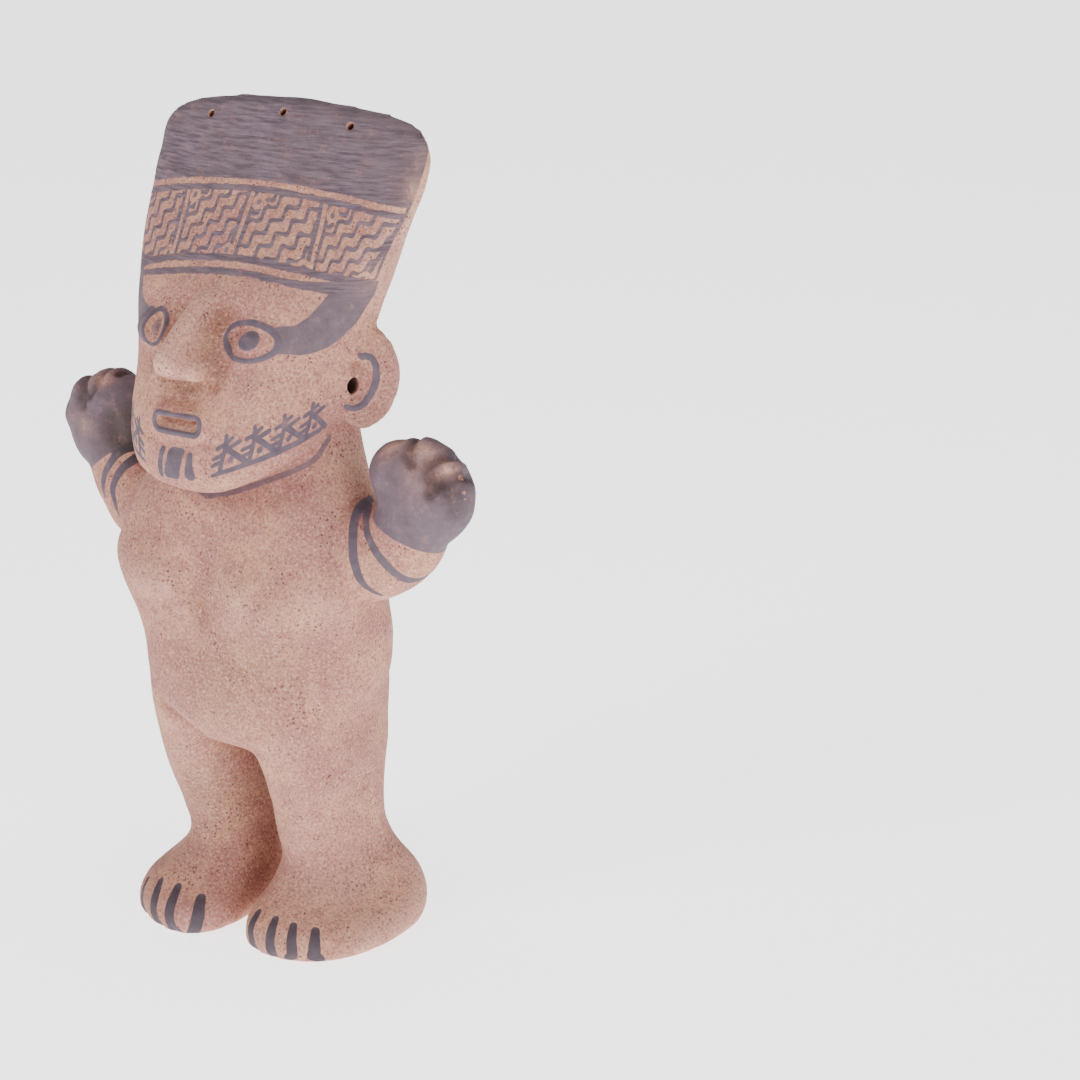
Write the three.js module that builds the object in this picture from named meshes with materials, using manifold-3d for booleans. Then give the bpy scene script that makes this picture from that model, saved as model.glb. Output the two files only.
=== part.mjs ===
import * as THREE from "three";
import { mergeVertices } from "three/addons/utils/BufferGeometryUtils.js";
import Module from "manifold-3d";

const wasm = await Module();
wasm.setup();

// A standing figure of fired clay, hand built in one piece: a flat fan-shaped headdress, a face
// that looks up, short raised arms with fists, and thick legs on wide flat feet.
// X runs to the figure's left hand, -Y is the way it faces, and Z is up from the floor.

// Driving dimensions, in millimetres
const figureHeight = 400;
const hatHoleDiameter = 3.6;
const earHoleDiameter = 7;
const earHoleDepth = 10;
const mouthSlotDepth = 3.5;

// How square the back half of every outline is, where 2 is an ellipse
const backSquare = 2.2;

// The form is laid out on a grid of 397 steps to the figure's height
const gridSteps = 397;
const grid = figureHeight / gridSteps;

// Each station gives the outline at one level: how far it reaches to both sides, to the front and
// to the back, where its widest line lies, and how square its corners are
const headStations = [
  { z: 230, half: 5, front: -57, back: -51, widest: -54, square: 2 },
  { z: 231.5, half: 17, front: -60.5, back: -50, widest: -54, square: 2 },
  { z: 235, half: 29, front: -63.5, back: -44, widest: -50, square: 2.1 },
  { z: 240, half: 38, front: -65.5, back: -36, widest: -42, square: 2.2 },
  { z: 247, half: 45, front: -65.5, back: -25, widest: -31, square: 2.3 },
  { z: 256, half: 49.5, front: -63.5, back: -8, widest: -20, square: 2.35 },
  { z: 270, half: 53, front: -57.5, back: 23, widest: -13, square: 2.4 },
  { z: 285, half: 56, front: -51, back: 29.5, widest: -9, square: 2.4 },
  { z: 305, half: 62.8, front: -43, back: 31.5, widest: -3, square: 2.4 },
  { z: 325, half: 69.7, front: -27, back: 33, widest: 5, square: 2.45 },
  { z: 357, half: 77.7, front: -0.5, back: 34, widest: 18.5, square: 2.5 },
  { z: 385, half: 79, front: 19, back: 39.5, widest: 29.5, square: 2.7 },
  { z: 397, half: 79.5, front: 26.5, back: 43, widest: 34.5, square: 2.8 },
];
const trunkStations = [
  { z: 89, half: 36, front: -30, back: 16, widest: -6, square: 2.3 },
  { z: 97, half: 43.5, front: -41, back: 21, widest: -8, square: 2.3 },
  { z: 108, half: 53.5, front: -50, back: 30, widest: -9, square: 2.3 },
  { z: 124, half: 61.5, front: -54, back: 37, widest: -7, square: 2.3 },
  { z: 150, half: 66.5, front: -54, back: 39, widest: -7, square: 2.4 },
  { z: 172, half: 66.3, front: -53, back: 36, widest: -10, square: 3.2 },
  { z: 190, half: 69.5, front: -51, back: 33, widest: -12, square: 3.3 },
  { z: 210, half: 65, front: -45.5, back: 31, widest: -9, square: 2.9 },
  { z: 234, half: 55, front: -35, back: 30, widest: -4, square: 2.3 },
  { z: 256, half: 49.5, front: -28, back: 28.5, widest: 0, square: 2.2 },
  { z: 266, half: 47, front: -24, back: 26.5, widest: 1, square: 2.2 },
  { z: 276, half: 40, front: -20, back: 20, widest: 1, square: 2.2 },
  { z: 284, half: 30, front: -14, back: 11, widest: 1, square: 2.2 },
];
// A leg's stations give the inner and the outer edge, because the foot spreads outwards
const legStations = [
  { z: 0, inner: 3.5, outer: 72, front: -58, back: 30, widest: -12, centre: 36, square: 2.4 },
  { z: 6, inner: 3, outer: 73, front: -59, back: 32, widest: -10, centre: 36, square: 2.4 },
  { z: 14, inner: 4, outer: 69, front: -55.5, back: 32.5, widest: -6, centre: 34, square: 2.6 },
  { z: 24, inner: 6, outer: 57, front: -42.5, back: 31, widest: 1, centre: 33, square: 2.2 },
  { z: 36, inner: 7.5, outer: 51, front: -30.5, back: 28.5, widest: 3, centre: 31, square: 2 },
  { z: 50, inner: 9, outer: 53, front: -32.5, back: 26.5, widest: -2, centre: 31, square: 2.1 },
  { z: 74, inner: 10, outer: 55.5, front: -38, back: 27, widest: -7, centre: 32, square: 2.4 },
  { z: 92, inner: 8.5, outer: 57.5, front: -43, back: 31, widest: -8, centre: 31, square: 2.2 },
  { z: 106, inner: 5, outer: 57, front: -48, back: 33.5, widest: -8, centre: 30, square: 2.2 },
  { z: 122, inner: 2, outer: 58.5, front: -48.5, back: 34, widest: -8, centre: 30, square: 2.2 },
  { z: 142, inner: 4, outer: 57.5, front: -45, back: 32, widest: -8, centre: 30, square: 2.2 },
];
const noseStations = [
  { z: 280.5, half: 11, front: -55, back: -44, widest: -50, square: 2 },
  { z: 284, half: 15.5, front: -63, back: -44, widest: -53, square: 2 },
  { z: 288, half: 15, front: -70, back: -42, widest: -53, square: 2 },
  { z: 293.5, half: 12, front: -72, back: -40, widest: -51, square: 2 },
  { z: 302, half: 8.5, front: -65, back: -36, widest: -46, square: 2 },
  { z: 309, half: 7.5, front: -56, back: -30, widest: -40, square: 2 },
  { z: 316, half: 7.5, front: -44, back: -24, widest: -33, square: 2 },
  { z: 322, half: 8, front: -30, back: -16, widest: -22, square: 2 },
];

// Reads one measure off a list of stations, with a smooth curve from station to station
function measure(stations, z, name) {
  const last = stations.length - 1;
  let k = 0;
  while (k < last - 1 && z > stations[k + 1].z) k += 1;
  const slopeAt = (i) => {
    const below = stations[Math.max(i - 1, 0)];
    const above = stations[Math.min(i + 1, last)];
    return (above[name] - below[name]) / (above.z - below.z);
  };
  const from = stations[k];
  const to = stations[k + 1];
  const span = to.z - from.z;
  const t = THREE.MathUtils.clamp((z - from.z) / span, 0, 1);
  const rise = to[name] - from[name];
  const start = slopeAt(k) * span;
  const end = slopeAt(k + 1) * span;
  return from[name] + t * (start + t * (3 * rise - 2 * start - end + t * (start + end - 2 * rise)));
}

function outlineAt(stations, z) {
  const read = (name) => measure(stations, z, name);
  const sided = "inner" in stations[0];
  return {
    left: sided ? read("inner") : -read("half"),
    right: sided ? read("outer") : read("half"),
    middle: sided ? read("centre") : 0,
    front: read("front"),
    back: read("back"),
    widest: read("widest"),
    square: read("square"),
  };
}

// A point on the outline: its corners are squarer than an ellipse's where square is over 2
function pointOn(outline, angle, inset) {
  const power = Math.sin(angle) < 0 ? 2 / outline.square : 2 / backSquare;
  const squared = (value) => Math.sign(value) * Math.abs(value) ** power;
  const across = squared(Math.cos(angle));
  const along = squared(Math.sin(angle));
  const width = across < 0 ? outline.middle - outline.left : outline.right - outline.middle;
  const depth = along < 0 ? outline.widest - outline.front : outline.back - outline.widest;
  const x = outline.middle + Math.max(width - inset.side, 0) * across;
  const y = outline.widest + Math.max(depth - inset.depth, 0) * along;
  return new THREE.Vector3(x, y, 0);
}

// A closed form of level outlines: the rows of a sphere are moved to the levels, and its two
// poles to the middle of the end faces
function form({ stations, levels, segments, shape = (point) => point }) {
  const sphere = new THREE.SphereGeometry(1, segments, levels.length + 1);
  const place = sphere.getAttribute("position");
  const perRow = segments + 1;
  for (let row = 0; row <= levels.length + 1; row += 1) {
    const level = levels[THREE.MathUtils.clamp(levels.length - row, 0, levels.length - 1)];
    const outline = outlineAt(stations, level.z);
    const pole = row === 0 || row === levels.length + 1;
    for (let step = 0; step < perRow; step += 1) {
      // The sphere's own steps start at -X and run towards +Z, which is -Y here
      const angle = Math.PI + (step % segments) / segments * Math.PI * 2;
      const inset = { side: level.side ?? 0, depth: level.depth ?? 0 };
      const point = pole
        ? new THREE.Vector3(outline.middle, outline.widest, 0)
        : pointOn(outline, angle, inset);
      point.z = level.z;
      const shaped = shape(point, level);
      place.setXYZ(row * perRow + step, shaped.x, shaped.y, shaped.z);
    }
  }
  return sphere;
}

// Levels from the bottom to the top, evenly spread
function evenLevels(bottom, top, count) {
  return Array.from({ length: count }, (_, k) => ({ z: bottom + (top - bottom) * k / (count - 1) }));
}

// The levels of a rounded end: each is set in as far as the arc of the round asks
function roundedEnd({ z, sideRound, depthRound, steps, up }) {
  return Array.from({ length: steps }, (_, k) => {
    const turn = (k + 1) / steps * Math.PI / 2;
    const rise = Math.max(sideRound, depthRound) * Math.sin(turn);
    const setIn = (round) => {
      const below = Math.max(rise - (Math.max(sideRound, depthRound) - round), 0);
      return round - Math.sqrt(Math.max(round * round - below * below, 0));
    };
    const height = Math.max(sideRound, depthRound) - rise;
    return { z: up ? z - height : z + height, side: setIn(sideRound), depth: setIn(depthRound) };
  });
}

// A soft swelling or hollow: how much of it reaches a point, from 1 at its centre to 0
function swell(point, centre, spread) {
  const across = (point.x - centre.x) / spread.x;
  const along = (point.z - centre.z) / spread.z;
  return Math.exp(-(across * across + along * along));
}

// A limb: a capsule bent along a path, with its own thickness at each point of the path
function limb({ path, widths, depths = widths, segments = 20, steps = 8, caps = 4 }) {
  const curve = new THREE.CatmullRomCurve3(path.map(([x, y, z]) => new THREE.Vector3(x, y, z)));
  const capsule = new THREE.CapsuleGeometry(1, 2, caps, segments, steps);
  const place = capsule.getAttribute("position");
  const read = (list, t) => {
    const at = t * (list.length - 1);
    const k = Math.min(Math.floor(at), list.length - 2);
    return THREE.MathUtils.lerp(list[k], list[k + 1], THREE.MathUtils.smoothstep(at - k, 0, 1));
  };
  const forward = new THREE.Vector3(0, -1, 0);
  for (let k = 0; k < place.count; k += 1) {
    const along = THREE.MathUtils.clamp(place.getY(k), -1, 1);
    const t = (along + 1) / 2;
    const tangent = curve.getTangent(t);
    const side = new THREE.Vector3().crossVectors(forward, tangent).normalize();
    const front = new THREE.Vector3().crossVectors(side, tangent);
    const width = read(widths, t);
    const depth = read(depths, t);
    const point = curve.getPoint(t)
      .addScaledVector(tangent, (place.getY(k) - along) * Math.min(width, depth))
      .addScaledVector(side, place.getX(k) * width)
      .addScaledVector(front, place.getZ(k) * depth);
    place.setXYZ(k, point.x, point.y, point.z);
  }
  return capsule;
}

function ball({ centre, radii, turn = [0, 0, 0], segments = 16, rows = 10 }) {
  return new THREE.SphereGeometry(1, segments, rows)
    .applyMatrix4(new THREE.Matrix4().compose(
      new THREE.Vector3(...centre),
      new THREE.Quaternion().setFromEuler(new THREE.Euler(...turn)),
      new THREE.Vector3(...radii),
    ));
}

// A straight hole from a point on the skin inwards; its diameter is a real size, not a share
function bore({ mouth, inwards, diameter, depth, segments = 12 }) {
  const outside = diameter * 2;
  const length = depth + outside;
  const direction = new THREE.Vector3(...inwards).normalize();
  const turn = new THREE.Quaternion().setFromUnitVectors(new THREE.Vector3(0, 1, 0), direction);
  const middle = new THREE.Vector3(...mouth).multiplyScalar(grid)
    .addScaledVector(direction, length / 2 - outside);
  return new THREE.CylinderGeometry(diameter / 2, diameter / 2, length, segments)
    .applyQuaternion(turn)
    .translate(middle.x, middle.y, middle.z);
}

function mirrored(geometry) {
  const copy = geometry.clone().scale(-1, 1, 1);
  const index = copy.getIndex().array;
  for (let k = 0; k < index.length; k += 3) {
    [index[k], index[k + 1]] = [index[k + 1], index[k]];
  }
  return copy;
}

function solid(geometry) {
  const shell = geometry.clone();
  shell.deleteAttribute("normal");
  shell.deleteAttribute("uv");
  const merged = mergeVertices(shell, 1e-4);
  const corners = merged.getIndex().array;
  const place = merged.getAttribute("position");
  const whole = [];
  for (let k = 0; k < corners.length; k += 3) {
    const [a, b, c] = [corners[k], corners[k + 1], corners[k + 2]];
    if (a !== b && b !== c && c !== a) whole.push(a, b, c);
  }
  return new wasm.Manifold(new wasm.Mesh({
    numProp: 3,
    vertProperties: new Float32Array(place.array),
    triVerts: new Uint32Array(whole),
  }));
}

// A form laid out on the grid, as a solid at its real size
const sized = (geometry) => solid(geometry.clone().scale(grid, grid, grid));

// The fan-shaped hat rises out of the head without a step
function headWithHat() {
  const cornerRound = 18;
  const edgeRound = 5;
  const archRise = 7;
  const topTilt = 2;
  const levels = [
    { z: 230 }, { z: 231.5 }, { z: 234 }, { z: 238 }, { z: 243 }, { z: 249 }, { z: 256 },
    ...evenLevels(264, 379, 12),
    ...roundedEnd({ z: gridSteps, sideRound: cornerRound, depthRound: edgeRound, steps: 6, up: true }),
  ];
  const shape = (point) => {
    const facing = point.y < 6;
    if (facing && point.z < 345) {
      const socket = swell({ x: Math.abs(point.x), z: point.z }, { x: 29, z: 301 }, { x: 19, z: 13 });
      const brow = swell({ x: Math.abs(point.x), z: point.z }, { x: 26, z: 318 }, { x: 24, z: 7 });
      const cheek = swell({ x: Math.abs(point.x), z: point.z }, { x: 30, z: 272 }, { x: 16, z: 13 });
      const underNose = swell(point, { x: 0, z: 274 }, { x: 17, z: 5 });
      const mouth = swell(point, { x: 0, z: 263 }, { x: 24, z: 9 });
      point.y += 3 * socket - 2 * brow - 1.6 * cheek + 1.2 * underNose - 1.5 * mouth;
    }
    const rightCorner = swell(point, { x: -74, z: 390 }, { x: 12, z: 9 });
    const leftSide = swell(point, { x: 79, z: 345 }, { x: 14, z: 22 });
    point.x -= 3 * rightCorner + 1.4 * leftSide;
    point.z += 1.5 * rightCorner;
    const fromSide = point.x / 76;
    point.x += 1.2 * THREE.MathUtils.smoothstep(point.z, 235, 290);
    const nearTop = THREE.MathUtils.smoothstep(point.z, 340, gridSteps);
    point.z -= (archRise * fromSide * fromSide + topTilt * Math.max(fromSide, 0)) * nearTop;
    return point;
  };
  return form({ stations: headStations, levels, segments: 46, shape });
}

// Below the breast, the figure's right side is a little slimmer than its left one
const rightSlimness = 0.03;

function trunk() {
  const levels = [
    { z: 89, side: 20, depth: 13 }, { z: 92.5, side: 9, depth: 6 }, { z: 98, side: 3, depth: 2 },
    ...evenLevels(104, 256, 13),
    { z: 264 }, { z: 271 }, { z: 278 }, { z: 284 },
  ];
  const shape = (point) => {
    if (point.x < 0) point.x *= 1 - rightSlimness * (1 - THREE.MathUtils.smoothstep(point.z, 165, 190));
    if (point.y < 0) {
      const breast = swell({ x: Math.abs(point.x), z: point.z }, { x: 26, z: 178 }, { x: 17, z: 15 });
      const between = swell(point, { x: 0, z: 182 }, { x: 9, z: 22 });
      const belly = swell(point, { x: 0, z: 128 }, { x: 44, z: 26 });
      const flank = swell({ x: Math.abs(point.x), z: point.z }, { x: 60, z: 178 }, { x: 20, z: 13 })
        * THREE.MathUtils.smoothstep(-point.y, 4, 34);
      point.x += (point.x > 0 ? 2.5 : -1) * flank;
      point.y += -7.5 * breast + 2.5 * between - 2 * belly - 2 * flank;
    } else {
      const seat = swell({ x: Math.abs(point.x), z: point.z }, { x: 28, z: 118 }, { x: 20, z: 18 });
      const spine = swell(point, { x: 0, z: 150 }, { x: 8, z: 50 });
      point.y += 4.5 * seat - 2.5 * spine;
    }
    return point;
  };
  return form({ stations: trunkStations, levels, segments: 34, shape });
}

// Both feet stand a little towards the figure's left, and its right foot a little forward
function leg(side) {
  const toeRound = 2.5;
  const levels = [
    { z: 0, side: toeRound, depth: toeRound }, { z: 0.9, side: toeRound * 0.4, depth: toeRound * 0.4 },
    { z: 3.5 }, { z: 8 }, { z: 13 }, { z: 19 }, { z: 26 }, { z: 34 }, { z: 43 },
    ...evenLevels(54, 126, 6),
    { z: 142, side: 3, depth: 3 },
  ];
  const stepAside = side < 0 ? -3.5 : 4;
  const toeSlant = side < 0 ? 0.22 : 0.1;
  const turnIn = 0.06;
  const stepForward = side < 0 ? 5 : 0;
  const shape = (point) => {
    const heel = Math.exp(-(((point.y - 24) / 22) ** 2) - ((point.z - 29) / 15) ** 2);
    point.x += 13 * heel * THREE.MathUtils.smoothstep(point.x, 30, 54);
    const nearFloor = 1 - THREE.MathUtils.smoothstep(point.z, 8, 50);
    if (point.y < -20) point.y += toeSlant * (point.x - 40) * nearFloor;
    point.x += (stepAside + turnIn * (point.y + 15)) * nearFloor;
    point.y -= stepForward * nearFloor;
    if (side < 0) point.x *= 1 - rightSlimness * THREE.MathUtils.smoothstep(point.z, 8, 30);
    return point;
  };
  return form({ stations: legStations, levels, segments: 26, shape });
}

function nose() {
  const levels = [
    { z: 281.5, side: 2, depth: 3 }, { z: 283 }, { z: 285 }, { z: 288 }, { z: 291.5 }, { z: 295 },
    { z: 299 }, { z: 304 }, { z: 309 }, { z: 315 }, { z: 322 },
  ];
  return form({ stations: noseStations, levels, segments: 16 });
}

// An arm comes out of the shoulder and bends straight up into its fist
function arm(fistAt) {
  return limb({
    path: [
      [46, -4, fistAt.shoulder],
      [68, -7, fistAt.shoulder + 1],
      [fistAt.x - 14, fistAt.y, fistAt.shoulder + 7.5],
      [fistAt.x - 4, fistAt.y, fistAt.z - 10],
    ],
    widths: [23, 22, 18.5, 18],
    depths: [27, 24, 20, 17],
    segments: 16,
    steps: 5,
    caps: 3,
  });
}

// A fist shows its palm: four short fingers are curled over the top, fanned out from the palm,
// whose heel drops a little lower on one hand than on the other
function fist(fistAt) {
  const palm = ball({
    centre: [fistAt.x, fistAt.y + 1, fistAt.z - fistAt.drop],
    radii: [25.5, 18, 25.5],
    segments: 16,
    rows: 10,
  });
  const fingers = [
    { angle: 142, reach: 15, length: 15.5, thick: 15 },
    { angle: 96, reach: 14, length: 14, thick: 12.5 },
    { angle: 50, reach: 13, length: 14, thick: 11 },
    { angle: 12, reach: 12.5, length: 13.5, thick: 12 },
  ].map(({ angle, reach, length, thick }) => {
    const turn = THREE.MathUtils.degToRad(angle);
    return ball({
      centre: [fistAt.x + reach * Math.cos(turn), fistAt.y, fistAt.z + reach * Math.sin(turn)],
      radii: [length, 15.5, thick],
      turn: [0, -turn, 0],
      segments: 9,
      rows: 6,
    });
  });
  return [palm, ...fingers];
}

// The ear is a flange that grows out of the cheek and faces outwards and forwards
const earTurn = [0, 0, 0.85];

function ear() {
  return ball({ centre: [60.9, -2.8, 279.7], radii: [17.4, 8, 25.3], turn: earTurn, segments: 14, rows: 10 });
}

// Its front is hollowed round the ear hole
function earHollow() {
  return ball({ centre: [66.5, -9.9, 279], radii: [6.5, 4.5, 12], turn: earTurn, segments: 12, rows: 8 });
}

function eye() {
  return ball({
    centre: [28, -39.6, 300],
    radii: [12.5, 5, 9.5],
    turn: [-0.65, 0, 0],
    segments: 14,
    rows: 8,
  });
}

// The lips stand out as one raised oblong with a slot in it
function lips() {
  return ball({ centre: [0, -58, 263], radii: [19, 6, 9], segments: 18, rows: 8 });
}

function mouthSlot() {
  const depth = mouthSlotDepth / grid;
  return limb({
    path: [[-9, -64, 263], [0, -64.8, 263], [9, -64, 263]],
    widths: [2.4, 2.8, 2.4],
    depths: [depth, depth],
    segments: 10,
    steps: 2,
    caps: 3,
  });
}

function figure() {
  const leftFist = { x: 98, y: -8, z: 230.5, drop: -1, shoulder: 196 };
  const rightFist = { x: 92, y: -8, z: 236.5, drop: 2, shoulder: 199 };
  const added = [
    headWithHat(), trunk(), nose(), lips(), eye(), mirrored(eye()),
    leg(1), mirrored(leg(-1)),
    ear(), mirrored(ear()),
    arm(leftFist), ...fist(leftFist),
    mirrored(arm(rightFist)), ...fist(rightFist).map(mirrored),
  ];

  let body = sized(added[0]);
  for (const piece of added.slice(1)) body = body.add(sized(piece));

  body = body.subtract(sized(mouthSlot()));
  // The cord holes slope down through the hat, whose thickness along them is under 30 grid steps
  const hatHoles = [[-41.5, 20.5, 388.5], [0, 22.5, 391], [41.5, 20.5, 388.5]];
  const throughHat = 30 * grid;
  for (const mouth of hatHoles) {
    const hole = bore({
      mouth, inwards: [0, 0.85, -0.52], diameter: hatHoleDiameter, depth: throughHat,
    });
    body = body.subtract(solid(hole));
  }
  for (const side of [-1, 1]) {
    const hollow = side > 0 ? earHollow() : mirrored(earHollow());
    body = body.subtract(sized(hollow));
    const hole = bore({
      mouth: [62 * side, -9, 277.5],
      inwards: [-0.93 * side, 0.37, 0],
      diameter: earHoleDiameter,
      depth: earHoleDepth,
    });
    body = body.subtract(solid(hole));
  }
  return body;
}

function toGeometry(body) {
  const mesh = body.getMesh();
  const geometry = new THREE.BufferGeometry();
  geometry.setAttribute("position", new THREE.BufferAttribute(mesh.vertProperties, 3));
  geometry.setIndex(new THREE.BufferAttribute(mesh.triVerts, 1));
  return geometry;
}

// The origin is on the floor, under the middle of the figure's box
function centred(geometry) {
  geometry.computeBoundingBox();
  const middle = geometry.boundingBox.getCenter(new THREE.Vector3());
  return geometry.translate(-middle.x, -middle.y, 0);
}

const firedClay = new THREE.MeshStandardMaterial({ color: "#c9a48f", roughness: 0.9, metalness: 0 });
const figureMesh = new THREE.Mesh(centred(toGeometry(figure())), firedClay);
figureMesh.name = "figure";

const object = new THREE.Group();
object.add(figureMesh);

export default object;
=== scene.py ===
# %% [markdown]
# # A standing clay figure, painted in dark slip
# The real figure is about 40 cm tall and hand built in one piece: a flat fan-shaped headdress, a
# face that looks up, short raised arms with fists, and thick legs on wide flat feet. It is low
# fired clay, never glazed, painted with a purplish grey slip before the fire.
#
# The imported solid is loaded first. It fixes the size and the place of everything below.

# %% Load the fixed frame
import math

import bmesh
import bpy
import numpy as np
from mathutils import Matrix, Vector, noise
from mathutils.bvhtree import BVHTree


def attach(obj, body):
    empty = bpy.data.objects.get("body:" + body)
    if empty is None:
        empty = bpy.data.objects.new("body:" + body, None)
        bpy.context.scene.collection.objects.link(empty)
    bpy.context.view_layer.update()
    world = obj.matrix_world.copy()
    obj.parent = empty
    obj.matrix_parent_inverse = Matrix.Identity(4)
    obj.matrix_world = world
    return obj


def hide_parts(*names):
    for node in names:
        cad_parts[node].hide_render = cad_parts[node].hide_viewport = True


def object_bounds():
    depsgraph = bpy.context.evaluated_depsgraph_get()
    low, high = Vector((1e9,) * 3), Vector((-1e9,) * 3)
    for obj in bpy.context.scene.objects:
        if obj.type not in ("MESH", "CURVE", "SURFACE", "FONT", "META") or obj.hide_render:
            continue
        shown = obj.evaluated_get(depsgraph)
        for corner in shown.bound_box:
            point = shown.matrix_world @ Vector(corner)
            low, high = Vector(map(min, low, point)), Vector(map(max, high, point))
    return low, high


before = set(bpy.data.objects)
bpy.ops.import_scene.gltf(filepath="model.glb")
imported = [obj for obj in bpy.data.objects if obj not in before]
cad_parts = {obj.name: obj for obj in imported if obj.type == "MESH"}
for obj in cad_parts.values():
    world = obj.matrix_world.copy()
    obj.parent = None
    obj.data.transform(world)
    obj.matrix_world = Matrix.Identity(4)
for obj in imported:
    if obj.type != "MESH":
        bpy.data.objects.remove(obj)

cad_lowest, cad_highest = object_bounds()
print("solid's box, mm:", [round(side * 1000, 1) for side in cad_highest - cad_lowest])

# %% [markdown]
# The form is laid out on a grid of 397 steps to the figure's height, so one step is about a
# millimetre. Its X is 0 on the line through nose and crotch, its Y is 0 a little behind the
# breast, and its Z is 0 on the floor. The solid's box says where that grid lies: the left fist
# reaches 123.5 steps to the side, and the nose 72.13 steps forwards.

# %% The grid
GRID_STEPS = 397
LEFT_FIST_REACH = 123.5
NOSE_REACH = 72.13
STEP = (cad_highest.z - cad_lowest.z) / GRID_STEPS
GRID_ORIGIN = Vector((
    cad_highest.x - LEFT_FIST_REACH * STEP,
    cad_lowest.y + NOSE_REACH * STEP,
    cad_lowest.z,
))
TO_FRAME = Matrix.Translation(GRID_ORIGIN) @ Matrix.Scale(STEP, 4)
print("one grid step, mm:", round(STEP * 1000, 4))

# %% [markdown]
# ## The camera
# The view is a little from the figure's left and from above, through a long lens. The camera
# looks past the figure, which therefore stands in the left half of the square picture.

# %% A way to put things into the scene
def place_object(name, data):
    thing = bpy.data.objects.new(name, data)
    bpy.context.scene.collection.objects.link(thing)
    return thing


# %% Camera
VIEW_AZIMUTH = math.radians(34.088)
VIEW_ELEVATION = math.radians(18.987)
VIEW_ROLL = math.radians(-0.639)
CAMERA_PLACE = Vector((732.0, -851.7, 571.6))
LENS_MM = 81.66
SENSOR_MM = 36

camera_data = bpy.data.cameras.new("camera")
camera_data.lens = LENS_MM
camera_data.sensor_width = SENSOR_MM
camera = place_object("camera", camera_data)
bpy.context.scene.camera = camera
camera.matrix_world = (
    Matrix.Translation(TO_FRAME @ CAMERA_PLACE)
    @ Matrix.Rotation(VIEW_AZIMUTH, 4, "Z")
    @ Matrix.Rotation(math.pi / 2 - VIEW_ELEVATION, 4, "X")
    @ Matrix.Rotation(VIEW_ROLL, 4, "Z")
)
print("camera at", [round(value, 3) for value in camera.location])

# %% [markdown]
# ## The rough form
# A potter builds such a figure from a few hollow masses and joins them while the clay is wet. The
# same masses are made here, each as a sphere whose rows are moved to level outlines. An outline
# is a superellipse, which is an ellipse with squarer corners, and it is read off a short list of
# stations with a smooth curve between them. Sculpting by hand would give the same surface, but
# the stations keep it true to the solid.

# %% Stations of the head and headdress
def table(names, *rows):
    """Gives the measures in every row their names, which stand in the same order."""
    return [dict(zip(names.split(), row)) for row in rows]


HEAD = table(
    "z half front back widest square",
    (230, 5, -57, -51, -54, 2),
    (231.5, 17, -60.5, -50, -54, 2),
    (235, 29, -63.5, -44, -50, 2.1),
    (240, 38, -65.5, -36, -42, 2.2),
    (247, 45, -65.5, -25, -31, 2.3),
    (256, 49.5, -63.5, -8, -20, 2.35),
    (270, 53, -57.5, 23, -13, 2.4),
    (285, 56, -51, 29.5, -9, 2.4),
    (305, 62.8, -43, 31.5, -3, 2.4),
    (325, 69.7, -27, 33, 5, 2.45),
    (357, 77.7, -0.5, 34, 18.5, 2.5),
    (385, 79, 19, 39.5, 29.5, 2.7),
    (397, 79.5, 26.5, 43, 34.5, 2.8),
)

# %% Stations of the trunk
TRUNK = table(
    "z half front back widest square",
    (89, 36, -30, 16, -6, 2.3),
    (97, 43.5, -41, 21, -8, 2.3),
    (108, 53.5, -50, 30, -9, 2.3),
    (124, 61.5, -54, 37, -7, 2.3),
    (150, 66.5, -54, 39, -7, 2.4),
    (172, 66.3, -53, 36, -10, 3.2),
    (190, 69.5, -51, 33, -12, 3.3),
    (210, 65, -45.5, 31, -9, 2.9),
    (234, 55, -35, 30, -4, 2.3),
    (256, 49.5, -28, 28.5, 0, 2.2),
    (266, 47, -24, 26.5, 1, 2.2),
    (276, 40, -20, 20, 1, 2.2),
    (284, 30, -14, 11, 1, 2.2),
)

# %% Stations of a leg, on the figure's left side
LEG = table(
    "z inner outer front back widest centre square",
    (0, 3.5, 72, -58, 30, -12, 36, 2.4),
    (6, 3, 73, -59, 32, -10, 36, 2.4),
    (14, 4, 69, -55.5, 32.5, -6, 34, 2.6),
    (24, 6, 57, -42.5, 31, 1, 33, 2.2),
    (36, 7.5, 51, -30.5, 28.5, 3, 31, 2),
    (50, 9, 53, -32.5, 26.5, -2, 31, 2.1),
    (74, 10, 55.5, -38, 27, -7, 32, 2.4),
    (92, 8.5, 57.5, -43, 31, -8, 31, 2.2),
    (106, 5, 57, -48, 33.5, -8, 30, 2.2),
    (122, 2, 58.5, -48.5, 34, -8, 30, 2.2),
    (142, 4, 57.5, -45, 32, -8, 30, 2.2),
)

# %% Stations of the nose
NOSE = table(
    "z half front back widest square",
    (280.5, 11, -55, -44, -50, 2),
    (284, 15.5, -63, -44, -53, 2),
    (288, 15, -70, -42, -53, 2),
    (293.5, 12, -72, -40, -51, 2),
    (302, 8.5, -65, -36, -46, 2),
    (309, 7.5, -56, -30, -40, 2),
    (316, 7.5, -44, -24, -33, 2),
    (322, 8, -30, -16, -22, 2),
)

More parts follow.
